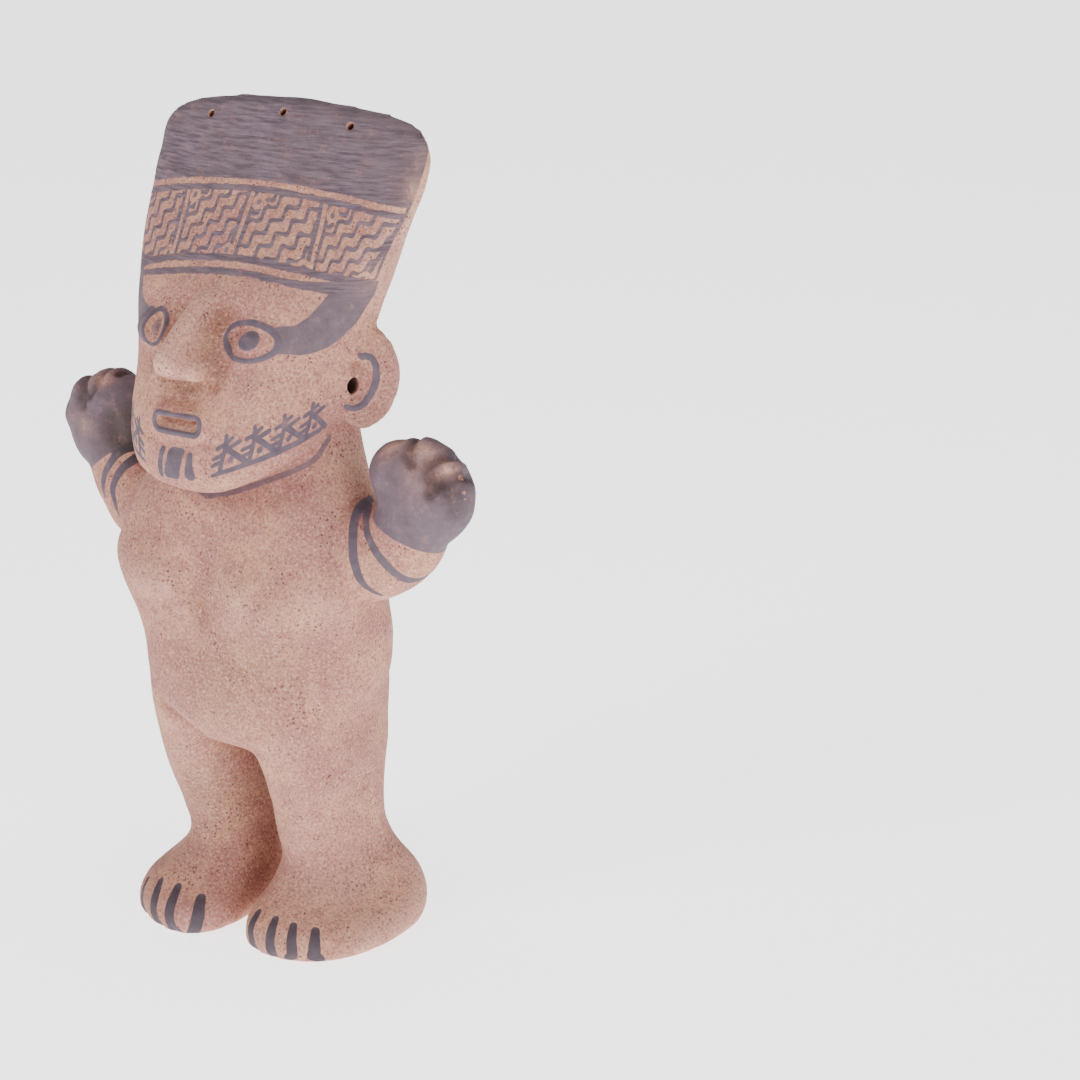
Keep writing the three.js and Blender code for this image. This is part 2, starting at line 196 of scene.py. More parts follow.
# %% Reading a measure between the stations
def measure(stations, z, name):
    """One measure at one level, on a smooth curve from station to station."""
    last = len(stations) - 1
    k = 0
    while k < last - 1 and z > stations[k + 1]["z"]:
        k += 1

    def slope(i):
        below, above = stations[max(i - 1, 0)], stations[min(i + 1, last)]
        return (above[name] - below[name]) / (above["z"] - below["z"])

    start, end = stations[k], stations[k + 1]
    span = end["z"] - start["z"]
    t = min(max((z - start["z"]) / span, 0), 1)
    rise = end[name] - start[name]
    a, b = slope(k) * span, slope(k + 1) * span
    return start[name] + t * (a + t * (3 * rise - 2 * a - b + t * (a + b - 2 * rise)))


# %% The sphere whose rows become level outlines
# The square of every outline's back half, which the stations don't give
BACK_SQUARE = 2.2


def outline_point(stations, level, angle):
    """A point of the outline at one level; side and depth say how far a round sets it in."""
    read = lambda name: measure(stations, level["z"], name)
    sided = "inner" in stations[0]
    middle = read("centre") if sided else 0
    power = 2 / (read("square") if math.sin(angle) < 0 else BACK_SQUARE)
    across = math.copysign(abs(math.cos(angle)) ** power, math.cos(angle))
    along = math.copysign(abs(math.sin(angle)) ** power, math.sin(angle))
    if sided:
        width = middle - read("inner") if across < 0 else read("outer") - middle
    else:
        width = read("half")
    widest = read("widest")
    depth = widest - read("front") if along < 0 else read("back") - widest
    return Vector((
        middle + max(width - level.get("side", 0), 0) * across,
        widest + max(depth - level.get("depth", 0), 0) * along,
        level["z"],
    ))


def add_form(bm, stations, levels, segments, shape=None, mirror=False):
    rows = len(levels) + 1
    made = bmesh.ops.create_uvsphere(bm, u_segments=segments, v_segments=rows, radius=1)
    for vert in made["verts"]:
        row = round((math.asin(min(max(vert.co.z, -1), 1)) / math.pi + 0.5) * rows)
        level = levels[min(max(row - 1, 0), len(levels) - 1)]
        if row in (0, rows):
            middle = measure(stations, level["z"], "centre") if "centre" in stations[0] else 0
            point = Vector((middle, measure(stations, level["z"], "widest"), level["z"]))
        else:
            point = outline_point(stations, level, math.atan2(vert.co.y, vert.co.x))
        vert.co = shape(point) if shape else point
        if mirror:
            vert.co.x = -vert.co.x
    if mirror:
        turn_faces(bm, made["verts"])
    return made["verts"]


def turn_faces(bm, verts):
    faces = list({face for vert in verts for face in vert.link_faces})
    bmesh.ops.reverse_faces(bm, faces=faces)


# %% Levels, swellings and soft steps
def even(bottom, top, count):
    return [dict(z=bottom + (top - bottom) * k / (count - 1)) for k in range(count)]


def rounded_end(z, side_round, depth_round, steps):
    """Levels up to a rounded top edge, each set in as far as the arc of the round asks."""
    deepest = max(side_round, depth_round)
    levels = []
    for k in range(steps):
        rise = deepest * math.sin((k + 1) / steps * math.pi / 2)
        level = dict(z=z - deepest + rise)
        for name, radius in (("side", side_round), ("depth", depth_round)):
            into = max(rise - (deepest - radius), 0)
            level[name] = radius - math.sqrt(max(radius * radius - into * into, 0))
        levels.append(level)
    return levels


def swell(point, centre, spread):
    """How much of a soft swelling reaches a point, from 1 at its centre to 0."""
    across = (point[0] - centre[0]) / spread[0]
    along = (point[1] - centre[1]) / spread[1]
    return math.exp(-(across * across + along * along))


def smoothstep(low, high, value):
    t = min(max((value - low) / (high - low), 0), 1)
    return t * t * (3 - 2 * t)


# %% [markdown]
# The head and the headdress are one mass. The face is pressed in at the eyes and swells at the
# brow, the cheeks and the mouth. The headdress thins towards its top edge, which is a low arch,
# a little lower on the figure's left, with a squarer corner on its right.

# %% Head and headdress
def head_shape(point):
    side = abs(point.x)
    if point.y < 6 and point.z < 345:
        socket = swell((side, point.z), (29, 301), (19, 13))
        brow = swell((side, point.z), (26, 318), (24, 7))
        cheek = swell((side, point.z), (30, 272), (16, 13))
        under_nose = swell((point.x, point.z), (0, 274), (17, 5))
        mouth = swell((point.x, point.z), (0, 263), (24, 9))
        point.y += 3 * socket - 2 * brow - 1.6 * cheek + 1.2 * under_nose - 1.5 * mouth
    right_corner = swell((point.x, point.z), (-74, 390), (12, 9))
    left_side = swell((point.x, point.z), (79, 345), (14, 22))
    point.x -= 3 * right_corner + 1.4 * left_side
    point.z += 1.5 * right_corner
    from_side = point.x / 76
    point.x += 1.2 * smoothstep(235, 290, point.z)
    near_top = smoothstep(340, GRID_STEPS, point.z)
    point.z -= (7 * from_side * from_side + 2 * max(from_side, 0)) * near_top
    return point


def add_head(bm):
    levels = [dict(z=z) for z in (230, 230.7, 231.5, 232.6, 234, 236, 238, 240.5, 243, 246, 249)]
    levels += even(252, 379, 70) + rounded_end(GRID_STEPS, 18, 5, 16)
    return add_form(bm, HEAD, levels, 144, head_shape)


# %% [markdown]
# The trunk has two flat breasts that run out to the flanks, a shallow groove between them and a
# full belly. Below the breast its right side is a little slimmer than its left one. The hidden
# back is plain, with a shallow spine and a seat.

# %% Trunk
RIGHT_SLIMNESS = 0.03


def trunk_shape(point):
    if point.x < 0:
        point.x *= 1 - RIGHT_SLIMNESS * (1 - smoothstep(165, 190, point.z))
    side = abs(point.x)
    if point.y < 0:
        breast = swell((side, point.z), (26, 178), (17, 15))
        between = swell((point.x, point.z), (0, 182), (9, 22))
        belly = swell((point.x, point.z), (0, 128), (44, 26))
        flank = swell((side, point.z), (60, 178), (20, 13)) * smoothstep(4, 34, -point.y)
        point.x += (2.5 if point.x > 0 else -1) * flank
        point.y += -7.5 * breast + 2.5 * between - 2 * belly - 2 * flank
    else:
        seat = swell((side, point.z), (28, 118), (20, 18))
        spine = swell((point.x, point.z), (0, 150), (8, 50))
        point.y += 4.5 * seat - 2.5 * spine
    return point


def add_trunk(bm):
    levels = table("z side depth", (89, 20, 13), (90.5, 13, 9), (92.5, 8, 6), (95, 5, 4), (98, 3, 2))
    levels += even(101, 284, 88)
    return add_form(bm, TRUNK, levels, 120, trunk_shape)


# %% [markdown]
# A leg widens into a flat foot with a low round heel. Both feet stand a little towards the
# figure's left, turned in slightly, and its right foot is set a little forward.

# %% Legs and feet
def add_leg(bm, right):
    step_aside = -3.5 if right else 4
    step_forward = 5 if right else 0
    toe_slant = 0.22 if right else 0.1
    turn_in = 0.06

    def leg_shape(point):
        heel = swell((point.y, point.z), (24, 29), (22, 15))
        point.x += 13 * heel * smoothstep(30, 54, point.x)
        near_floor = 1 - smoothstep(8, 50, point.z)
        if point.y < -20:
            point.y += toe_slant * (point.x - 40) * near_floor
        point.x += (step_aside + turn_in * (point.y + 15)) * near_floor
        point.y -= step_forward * near_floor
        if right:
            point.x *= 1 - RIGHT_SLIMNESS * smoothstep(8, 30, point.z)
        return point

    levels = table("z side depth", (0, 2.5, 2.5), (0.3, 1.4, 1.4), (0.9, 0.7, 0.7), (1.8, 0.2, 0.2))
    levels += even(3, 139, 72) + [dict(z=142, side=3, depth=3)]
    return add_form(bm, LEG, levels, 96, leg_shape, mirror=right)


# %% [markdown]
# An arm is a rod of clay that comes out of the shoulder and bends straight up. It is made as a
# sphere stretched along a curve. The fist is a ball with four short fingers laid over its top,
# fanned out from the palm.

# %% A rod along a curve
# Between these heights the sphere becomes the rod, and its two caps are the round ends
CAP = 0.7


def curve_point(path, t):
    """A point on the smooth curve through a path, and the way the curve runs there."""
    at = t * (len(path) - 1)
    k = min(int(at), len(path) - 2)
    p = [Vector(path[min(max(k + i, 0), len(path) - 1)]) for i in (-1, 0, 1, 2)]
    u = at - k
    place = 0.5 * ((2 * p[1]) + (p[2] - p[0]) * u + (2 * p[0] - 5 * p[1] + 4 * p[2] - p[3]) * u ** 2
                   + (3 * p[1] - p[0] - 3 * p[2] + p[3]) * u ** 3)
    way = 0.5 * ((p[2] - p[0]) + 2 * (2 * p[0] - 5 * p[1] + 4 * p[2] - p[3]) * u
                 + 3 * (3 * p[1] - p[0] - 3 * p[2] + p[3]) * u ** 2)
    return place, way.normalized()


def eased(values, t):
    at = t * (len(values) - 1)
    k = min(int(at), len(values) - 2)
    return values[k] + (values[k + 1] - values[k]) * smoothstep(0, 1, at - k)


def add_limb(bm, path, widths, depths, mirror=False, segments=64, rows=60):
    made = bmesh.ops.create_uvsphere(bm, u_segments=segments, v_segments=rows, radius=1)
    for vert in made["verts"]:
        height = vert.co.z
        ring = Vector((vert.co.x, vert.co.y))
        along = min(max(height / CAP, -1), 1)
        t = (along + 1) / 2
        place, way = curve_point(path, t)
        side = Vector((0, -1, 0)).cross(way).normalized()
        front = side.cross(way)
        beyond = math.copysign(max(abs(height) - CAP, 0) / (1 - CAP), height)
        shrink = math.sqrt(max(1 - beyond * beyond, 0))
        if ring.length > 1e-6:
            ring = ring.normalized() * shrink
        width, depth = eased(widths, t), eased(depths, t)
        round_end = way * beyond * min(width, depth)
        vert.co = place + round_end + side * ring.x * width + front * ring.y * depth
    if mirror:
        for vert in made["verts"]:
            vert.co.x = -vert.co.x
    return made["verts"]


# %% A ball, turned and stretched
def add_ball(bm, centre, radii, turn=(0, 0, 0), mirror=False, segments=48, rows=32):
    place = Matrix.LocRotScale(Vector(centre), Matrix.Rotation(turn[2], 3, "Z")
                               @ Matrix.Rotation(turn[1], 3, "Y") @ Matrix.Rotation(turn[0], 3, "X"),
                               Vector(radii))
    made = bmesh.ops.create_uvsphere(bm, u_segments=segments, v_segments=rows, radius=1, matrix=place)
    if mirror:
        for vert in made["verts"]:
            vert.co.x = -vert.co.x
        turn_faces(bm, made["verts"])
    return made["verts"]


# %% Arms, palms and fingers
LEFT_FIST = dict(x=98, y=-8, z=230.5, drop=-1, shoulder=196)
RIGHT_FIST = dict(x=92, y=-8, z=236.5, drop=2, shoulder=199)
# The angle of each finger round the palm, its reach, its length and its thickness
FINGERS = [(142, 15, 15.5, 15), (96, 14, 14, 12.5), (50, 13, 14, 11), (12, 12.5, 13.5, 12)]
FINGER_WIDTH = 15.5
PALM_RADII = (25.5, 18, 25.5)


def add_arm(bm, fist, right):
    path = [(46, -4, fist["shoulder"]), (68, -7, fist["shoulder"] + 1),
            (fist["x"] - 14, fist["y"], fist["shoulder"] + 7.5),
            (fist["x"] - 4, fist["y"], fist["z"] - 10)]
    add_limb(bm, path, [23, 22, 18.5, 18], [27, 24, 20, 17], mirror=right)


def add_palm(bm, fist, right):
    add_ball(bm, (fist["x"], fist["y"] + 1, fist["z"] - fist["drop"]), PALM_RADII, mirror=right)


def add_finger(bm, fist, finger, right):
    angle, reach, length, thick = finger
    turn = math.radians(angle)
    centre = (fist["x"] + reach * math.cos(turn), fist["y"], fist["z"] + reach * math.sin(turn))
    add_ball(bm, centre, (length, FINGER_WIDTH, thick), (0, -turn, 0), mirror=right)


# %% [markdown]
# The nose is a long ridge, wide at its foot, and steeper on its right side. The lips are a
# raised oblong, the eyes are low cushions, and an ear is a flange that grows out of the cheek
# and faces outwards and forwards.

# %% Nose, lips, eyes and ears
NOSE_SLIMNESS = 0.25
# The centre, the radii and the turn of each low ball
LIPS = [(0, -58, 263), (19, 6, 9)]
EYE = [(28, -39.6, 300), (12.5, 5, 9.5), (-0.65, 0, 0)]
EAR = [(60.9, -2.8, 279.7), (17.4, 8, 25.3), (0, 0, 0.85)]


def nose_shape(point):
    if point.x < 0:
        point.x *= 1 - NOSE_SLIMNESS * swell((0, point.z), (0, 291), (1, 12))
    return point


def add_nose(bm):
    levels = table("z side depth", (281.5, 2, 3), (282.1, 0.8, 1))
    levels += even(283, 322, 30)
    add_form(bm, NOSE, levels, 48, nose_shape)


# %% Gather the masses into one mesh
figure_mesh = bpy.data.meshes.new("clay_figure")


def gather(build, *values):
    """Builds one mass in a bmesh of its own, and adds it to the figure's mesh."""
    one, whole = bmesh.new(), bmesh.new()
    build(one, *values)
    mass = bpy.data.meshes.new("mass")
    one.to_mesh(mass)
    whole.from_mesh(figure_mesh)
    whole.from_mesh(mass)
    whole.to_mesh(figure_mesh)
    one.free()
    whole.free()
    bpy.data.meshes.remove(mass)


gather(add_head)
gather(add_trunk)
gather(add_nose)
gather(add_ball, *LIPS)
for right_side in (False, True):
    fist = RIGHT_FIST if right_side else LEFT_FIST
    gather(add_leg, right_side)
    gather(add_arm, fist, right_side)
    gather(add_palm, fist, right_side)
    for finger in FINGERS:
        gather(add_finger, fist, finger, right_side)
    gather(add_ball, *EYE, right_side)
    gather(add_ball, *EAR, right_side)
print("masses:", len(figure_mesh.vertices), "points")
figure = place_object("clay_figure", figure_mesh)

# %% [markdown]
# ## Joining the clay
# Where the potter smears one mass into the next, a voxel remesh makes one skin of them all. It
# leaves a sharp valley at every join, so the valleys are then filled by smoothing, as a wet
# finger does, while the crests keep their form. A Boolean union would keep the masses too, but its
# long thin triangles can't be smoothed or sculpted.

# %% One skin
# Wider voxels would leave a thin bridge of clay between the feet
VOXEL_STEPS = 2.5


def apply_modifier(piece, kind, **settings):
    modifier = piece.modifiers.new(kind.lower(), kind)
    for name, value in settings.items():
        setattr(modifier, name, value)
    graph = bpy.context.evaluated_depsgraph_get()
    mesh = bpy.data.meshes.new_from_object(piece.evaluated_get(graph))
    piece.modifiers.clear()
    old = piece.data
    piece.data = mesh
    bpy.data.meshes.remove(old)
    mesh.name = piece.name


apply_modifier(figure, "REMESH", mode="VOXEL", voxel_size=VOXEL_STEPS, adaptivity=0)
print("skin:", len(figure.data.vertices), "points,", len(figure.data.polygons), "faces")


# %% Reading and moving the points of the skin
def read_places(mesh):
    places = np.empty(len(mesh.vertices) * 3)
    mesh.vertices.foreach_get("co", places)
    return places.reshape(-1, 3)


def read_normals(mesh):
    normals = np.empty(len(mesh.vertices) * 3)
    mesh.vertices.foreach_get("normal", normals)
    return normals.reshape(-1, 3)


def write_places(mesh, places):
    mesh.vertices.foreach_set("co", places.ravel())
    mesh.update()


def neighbour_mean(mesh, values):
    """The mean of the values at the points that an edge joins to each point."""
    pairs = np.empty(len(mesh.edges) * 2, dtype=np.int64)
    mesh.edges.foreach_get("vertices", pairs)
    a, b = pairs.reshape(-1, 2).T
    count = np.bincount(a, minlength=len(values)) + np.bincount(b, minlength=len(values))
    total = np.stack([
        np.bincount(a, column[b], len(values)) + np.bincount(b, column[a], len(values))
        for column in values.T
    ], axis=1)
    return total / count[:, None]


def ease(mesh, places, share):
    """Moves each point towards the mean of its neighbours, by a share of the way."""
    write_places(mesh, places + (neighbour_mean(mesh, places) - places) * share)


def fill_valleys(mesh, rounds, crest_share):
    """Smooths the skin, in full where it is hollow and by a share where it is a crest."""
    for turn in range(rounds):
        places = read_places(mesh)
        on_face = (places[:, 1] < -30) & (places[:, 2] > 232)
        pull = neighbour_mean(mesh, places) - places
        hollow = np.einsum("ij,ij->i", pull, read_normals(mesh)) > 0
        share = np.where(hollow, 0.6, 0.6 * crest_share)[:, None]
        if turn >= 3:
            share[on_face] = 0
        write_places(mesh, places + pull * share)


fill_valleys(figure.data, rounds=7, crest_share=0.3)
print("valleys filled")

# %% [markdown]
# Eyes, mouth, ears, fingers and toes need finer faces than the belly does. Sculptors use a
# multiresolution grid for that. Here the faces are only cut in four where the relief or a painted
# line is fine, which keeps the whole piece light.

# %% Finer faces where the detail is
FOOT_TOP = 26


def refine(mesh, wanted):
    """Cuts each face in four where wanted says so, and eases the new points into the skin."""
    chosen = wanted(read_places(mesh))
    bm = bmesh.new()
    bm.from_mesh(mesh)
    bm.verts.ensure_lookup_table()
    edges = [edge for edge in bm.edges if all(chosen[vert.index] for vert in edge.verts)]
    bmesh.ops.subdivide_edges(bm, edges=edges, cuts=1, use_grid_fill=True)
    bm.to_mesh(mesh)
    bm.free()
    for share in (0.5, -0.52, 0.5, -0.52):
        places = read_places(mesh)
        ease(mesh, places, share * wanted(places)[:, None])
    print("refined to", len(mesh.vertices), "points")


def features(places):
    side, y, z = abs(places[:, 0]), places[:, 1], places[:, 2]
    face = (y < -8) & (z > 224) & (z < 332) & (side < 64)
    ear = (side > 50) & (z > 248) & (z < 308) & (y < 14)
    hand = (side > 64) & (z > 184) & (z < 270)
    toes = (z < FOOT_TOP) & (y < -34)
    return face | ear | hand | toes


refine(figure.data, features)

# %% [markdown]
# ## Strokes
# Both the tool that presses a groove and the brush that paints a line follow a path. A few points
# along it are listed, in grid steps. A smooth curve goes through them and is laid on the
# skin, and the distance of every point of the skin from it tells how deep it is pressed, or
# whether it is painted.

# %% Paths on the skin
FAR = 20


def smooth_path(points, per_span=5):
    """A smooth curve through a few points, as a denser row of points."""
    points = np.array(points, float)
    if len(points) < 3:
        return points
    row = np.vstack([2 * points[0] - points[1], points, 2 * points[-1] - points[-2]])
    t = np.linspace(0, 1, per_span, endpoint=False)[:, None]
    spans = [
        0.5 * (2 * b + (c - a) * t + (2 * a - 5 * b + 4 * c - d) * t ** 2
               + (3 * b - a - 3 * c + d) * t ** 3)
        for a, b, c, d in zip(row, row[1:], row[2:], row[3:])
    ]
    return np.vstack(spans + [points[-1:]])


def skin_tree(mesh):
    bm = bmesh.new()
    bm.from_mesh(mesh)
    tree = BVHTree.FromBMesh(bm)
    bm.free()
    return tree


def on_skin(tree, points):
    return np.array([tree.find_nearest(Vector(point))[0] for point in smooth_path(points)])


# %% Distances from strokes, boxes and ellipses
def stroke_gap(places, path, half_widths, around=6):
    """How far each place is from the edge of a stroke, in steps: negative is inside it."""
    path = np.asarray(path, float)
    reach = max(half_widths) + around
    close = np.all((places > path.min(axis=0) - reach) & (places < path.max(axis=0) + reach), axis=1)
    near = places[close]
    widths = np.interp(np.linspace(0, 1, len(path)), np.linspace(0, 1, len(half_widths)), half_widths)
    nearest = np.full(len(near), float(FAR))
    for start, end, wide, wide_end in zip(path, path[1:], widths, widths[1:]):
        way = end - start
        t = np.clip((near - start) @ way / (way @ way), 0, 1)
        gap = np.linalg.norm(near - start - t[:, None] * way, axis=1)
        nearest = np.minimum(nearest, gap - wide - (wide_end - wide) * t)
    gaps = np.full(len(places), float(FAR))
    gaps[close] = nearest
    return gaps


def fade(gap, soft):
    """1 inside a stroke, falling smoothly to 0 over its soft edge."""
    t = np.clip(1 - gap / soft, 0, 1)
    return t * t * (3 - 2 * t)


def to_right(points):
    return [(-point[0], *point[1:]) for point in points]


def box_gap(points, centre, half, corner):
    """How far each point is from the edge of a box with round corners."""
    beyond = np.abs(points - np.array(centre)) - (np.array(half) - corner)
    return (np.linalg.norm(np.maximum(beyond, 0), axis=1)
            + np.minimum(beyond.max(axis=1), 0) - corner)


def ellipse_gap(points, centre, radii):
    """Roughly how far each point is from the edge of an ellipse."""
    scaled = np.linalg.norm((points - np.array(centre)) / np.array(radii), axis=1)
    return (scaled - 1) * min(radii)


# %% [markdown]
# ## Sculpting the relief
# Each form is pressed in or built up along the skin's own direction. The eyes are low almonds with
# a rim, the lips a rounded oblong round a slot, the ears a broad flange with a ridge shaped
# like a C.

# %% Eyes, mouth and chin
MOUTH_MIDDLE = (0.8, 263.3)
MOUTH_HALF = (13.2, 4.1)
MOUTH_CORNER = 3.6
NOSE_CREASE = [(9.5, 312), (11.5, 304), (14.5, 296), (17, 288.5), (15.5, 281)]
UNDER_LIP = [(-18, 256), (-9, 253.8), (0, 253.2), (9, 253.8), (18, 256)]
# The painted ring's half widths run from its outer end over the top to the inner end and back
LEFT_EYE = dict(centre=(27.3, 300.2), radii=(14.8, 7.9), ring=[1.7, 1.4, 1.15, 1.2, 1.7],
                pupil=(28.7, 300.8), pupil_radii=(5.6, 4.1), pupil_strength=1.1)
RIGHT_EYE = dict(centre=(-26.3, 300.5), radii=(5.6, 7.6), ring=[0.9, 1.2, 1.1, 0.9, 0.9],
                 pupil=(-25.8, 300.5), pupil_radii=(2, 3.9), pupil_strength=0.65)


def press(mesh, amounts):
    """Moves every point out of the skin by its amount, in steps; negative is inwards."""
    write_places(mesh, read_places(mesh) + read_normals(mesh) * amounts[:, None])


def front_view(places):
    """The places as seen from the front, with all that is behind the face sent far away."""
    seen = places[:, [0, 2]].copy()
    seen[places[:, 1] > -20] = 1000
    return seen


def press_face(mesh):
    seen = front_view(read_places(mesh))
    amounts = np.zeros(len(seen))
    for eye in (LEFT_EYE, RIGHT_EYE):
        gap = ellipse_gap(seen, eye["centre"], eye["radii"])
        amounts += 0.8 * np.exp(-(gap / 1.8) ** 2)
        amounts -= 1.5 * fade(gap + 2.2, 2)
        amounts += 1.2 * fade(gap + 5, 2.6)
    lips = box_gap(seen, MOUTH_MIDDLE, MOUTH_HALF, MOUTH_CORNER)
    amounts += 1.1 * np.exp(-(lips / 2.6) ** 2)
    amounts -= 1.7 * fade(lips + 2.6, 1.8)
    slot = stroke_gap(seen, [(-8, 264.2), (1, 264.9), (10.5, 264.8)], [0.2, 0.6, 0.2])
    amounts -= 2.6 * fade(slot, 1.5)
    under_lip = stroke_gap(seen, smooth_path(UNDER_LIP), [0, 1.2, 0])
    amounts -= 1.1 * fade(under_lip, 4.5)
    for sign in (1, -1):
        crease = smooth_path([(sign * x, z) for x, z in NOSE_CREASE])
        beside_nose = stroke_gap(seen, crease, [0, 0.8, 0.4])
        amounts -= 2.5 * fade(beside_nose, 5.5)
        wing = stroke_gap(seen, [(sign * 13, 290), (sign * 12, 285.5)], [1, 1])
        amounts += 1.3 * fade(wing, 3.4)
        inner_corner = ellipse_gap(seen, (sign * 14.5, 305), (6, 8))
        amounts -= 1.6 * fade(inner_corner + 3, 6)
    under_nose = stroke_gap(seen, [(-11, 281), (0, 279.5), (11, 281)], [0, 1, 0])
    amounts -= 1.6 * fade(under_nose, 4)
    press(mesh, amounts)


press_face(figure.data)
print("face pressed")

# %% Where the grooves, hollows and folds run
EAR_ARC = [(65, -8.7, 291.6), (68.2, -5.4, 290.4), (69.8, -4, 284), (69.5, -4.6, 278),
           (67.2, -7, 271.5), (63.5, -10, 267.3), (59.3, -13, 268)]
EAR_HOLLOW = [(64, -10.5, 287), (66.8, -8, 280), (63.5, -10.5, 272)]
# Grooves between the curled fingers: a path, how deep, and how wide its soft edge is
FINGER_GROOVES = [
    ([(92.5, 4, 257.5), (94.5, -9, 257.5), (98, -18, 254), (101, -20.5, 249.5)], 3, 4),
    ([(114, 6, 251.5), (113, -6, 252.5), (108.5, -17, 249.5), (111.5, -21, 244.5)], 3.2, 4.5),
    ([(121, 0, 242), (119.5, -10, 244.5), (115.5, -17.5, 243), (112, -22, 238)], 2.6, 4),
    ([(-91.5, 2, 263.5), (-92, -11, 263.5), (-90.5, -19, 258.5), (-93.5, -22, 253.5)], 2.4, 4),
    ([(-105.5, -2, 257), (-103.5, -13, 257), (-98.5, -20.5, 254), (-98.5, -24, 248)], 2.4, 4),
    ([(-83.5, 1, 258.5), (-84, -10, 262)], 2, 3),
]
# The hollow of the palm on the left hand, and the one on the inner side of the right hand
PALM_HOLLOWS = [
    ([(119.5, -14, 240), (119.5, -14, 231)], 3, 8),
    ([(-80, -18, 245), (-80, -20, 236)], 2, 8),
]
# The fold of the belly over the right thigh, the folds under the breasts, and the valley between
BODY_FOLDS = [
    ([(-35, -48, 114), (-23, -50, 109), (-17, -50, 104.5), (-13, -48, 100)], 1.6, 6),
    ([(-39, -54, 168), (-28, -57, 169), (-20, -58, 172), (-13, -56, 177)], 1, 10),
    ([(17, -57, 176), (28, -58, 176), (35, -56, 179), (42, -52, 185)], 1, 10),
    ([(-12, -53, 190), (-9, -54, 184), (-5, -53, 177), (0.5, -53, 170)], 1.4, 10),
]
# The top and the bottom of each dark stroke between the toes, and its half width
LEFT_TOES = [((22, -49, 17), (26, -60.5, 1), 3), ((34.5, -51, 17.5), (38.5, -61, 1), 2.9),
             ((44.5, -50, 16.5), (50, -59, 1), 2.8), ((54.5, -46, 15), (60, -55, 1), 3.1)]
RIGHT_TOES = [((-51.5, -47.5, 15), (-42, -61, 1), 2), ((-38.5, -52, 18.5), (-29, -66, 1), 3),
              ((-25.5, -53.5, 19.5), (-18.5, -68, 1), 3.2), ((-11.5, -52.5, 17), (-9, -63, 1), 3.3)]


# %% Press ears, fingers, folds and toes
def press_small_forms(mesh):
    places = read_places(mesh)
    tree = skin_tree(mesh)
    amounts = np.zeros(len(places))
    for side in (lambda points: points, to_right):
        arc = stroke_gap(places, on_skin(tree, side(EAR_ARC)), [0.2, 0.8, 0.2])
        hollow = stroke_gap(places, on_skin(tree, side(EAR_HOLLOW)), [0.5, 2, 0.5])
        amounts += 1.1 * fade(arc, 3.2) - 2.6 * fade(hollow, 4.5)
    for path, depth, soft in FINGER_GROOVES + PALM_HOLLOWS + BODY_FOLDS:
        groove = stroke_gap(places, on_skin(tree, path), [0, 0.4, 0.4], around=soft)
        amounts -= depth * fade(groove, soft)
    for top, bottom, half in LEFT_TOES + RIGHT_TOES:
        between = stroke_gap(places, on_skin(tree, (top, bottom)), [0, 0.6])
        amounts -= 1.1 * fade(between, 3.2)
    press(mesh, amounts)


press_small_forms(figure.data)
print("ears, fingers and toes pressed")

# %% [markdown]
# No surface that a hand has drawn out is even. A soft noise of a few tenths of a millimetre, with
# lumps as wide as a fingertip and as wide as a palm, takes the machine look off every curve.

# %% Hand-made unevenness
noise.seed_set(7)


def uneven(mesh, spread, amount):
    places = read_places(mesh)
    waves = np.array([noise.noise(Vector(place) / spread) for place in places])
    near_floor = np.clip(places[:, 2] / 6, 0, 1)
    press(mesh, waves * amount * near_floor)


uneven(figure.data, spread=34, amount=1.1)
uneven(figure.data, spread=12, amount=0.35)

# %% [markdown]
# ## Cord and ear holes
# The three holes in the headdress were poked right through with a stick, sloping down to the
# back, and the ear holes are blind. An exact Boolean cuts them with plain rods, and the rims are
# then softened.

# %% Drill the holes
HAT_HOLE_MM = 4
EAR_HOLE_MM = 6.2
EAR_HOLE_TALLNESS = 1.35
HAT_HOLE_DEPTH = 34
EAR_HOLE_DEPTH = 10
HAT_MOUTHS = [(-44.7, 23, 387.5), (-1.3, 25, 390.7), (38, 23.5, 388.2)]
HAT_HOLE_WAY = (0, 0.85, -0.52)
EAR_HOLE = [(61, -10.5, 277.6), (-0.93, 0.37, 0)]
# The mouth, the way, the diameter in millimetres and the tallness of each hole
HAT_HOLES = [(mouth, HAT_HOLE_WAY, HAT_HOLE_MM, 1) for mouth in HAT_MOUTHS]
EAR_HOLES = [(*hole, EAR_HOLE_MM, EAR_HOLE_TALLNESS) for hole in (EAR_HOLE, to_right(EAR_HOLE))]


def add_rod(bm, mouth, way, diameter_mm, tallness, inside, outside=8):
    """A rod from outside the skin to a depth inside it, with rings of points all along it."""
    way = Vector(way).normalized()
    middle = Vector(mouth) + way * (inside - outside) / 2
    tall = Matrix.Diagonal((1, 1, tallness, 1))
    place = Matrix.Translation(middle) @ tall @ way.to_track_quat("Z", "Y").to_matrix().to_4x4()
    radius = diameter_mm / 2000 / STEP
    made = bmesh.ops.create_cone(bm, cap_ends=True, segments=28, radius1=radius, radius2=radius,
                                 depth=inside + outside, matrix=place)
    points = set(made["verts"])
    long_edges = [edge for edge in bm.edges
                  if points.issuperset(edge.verts) and edge.calc_length() > inside]
    bmesh.ops.subdivide_edges(bm, edges=long_edges, cuts=18, use_grid_fill=True)


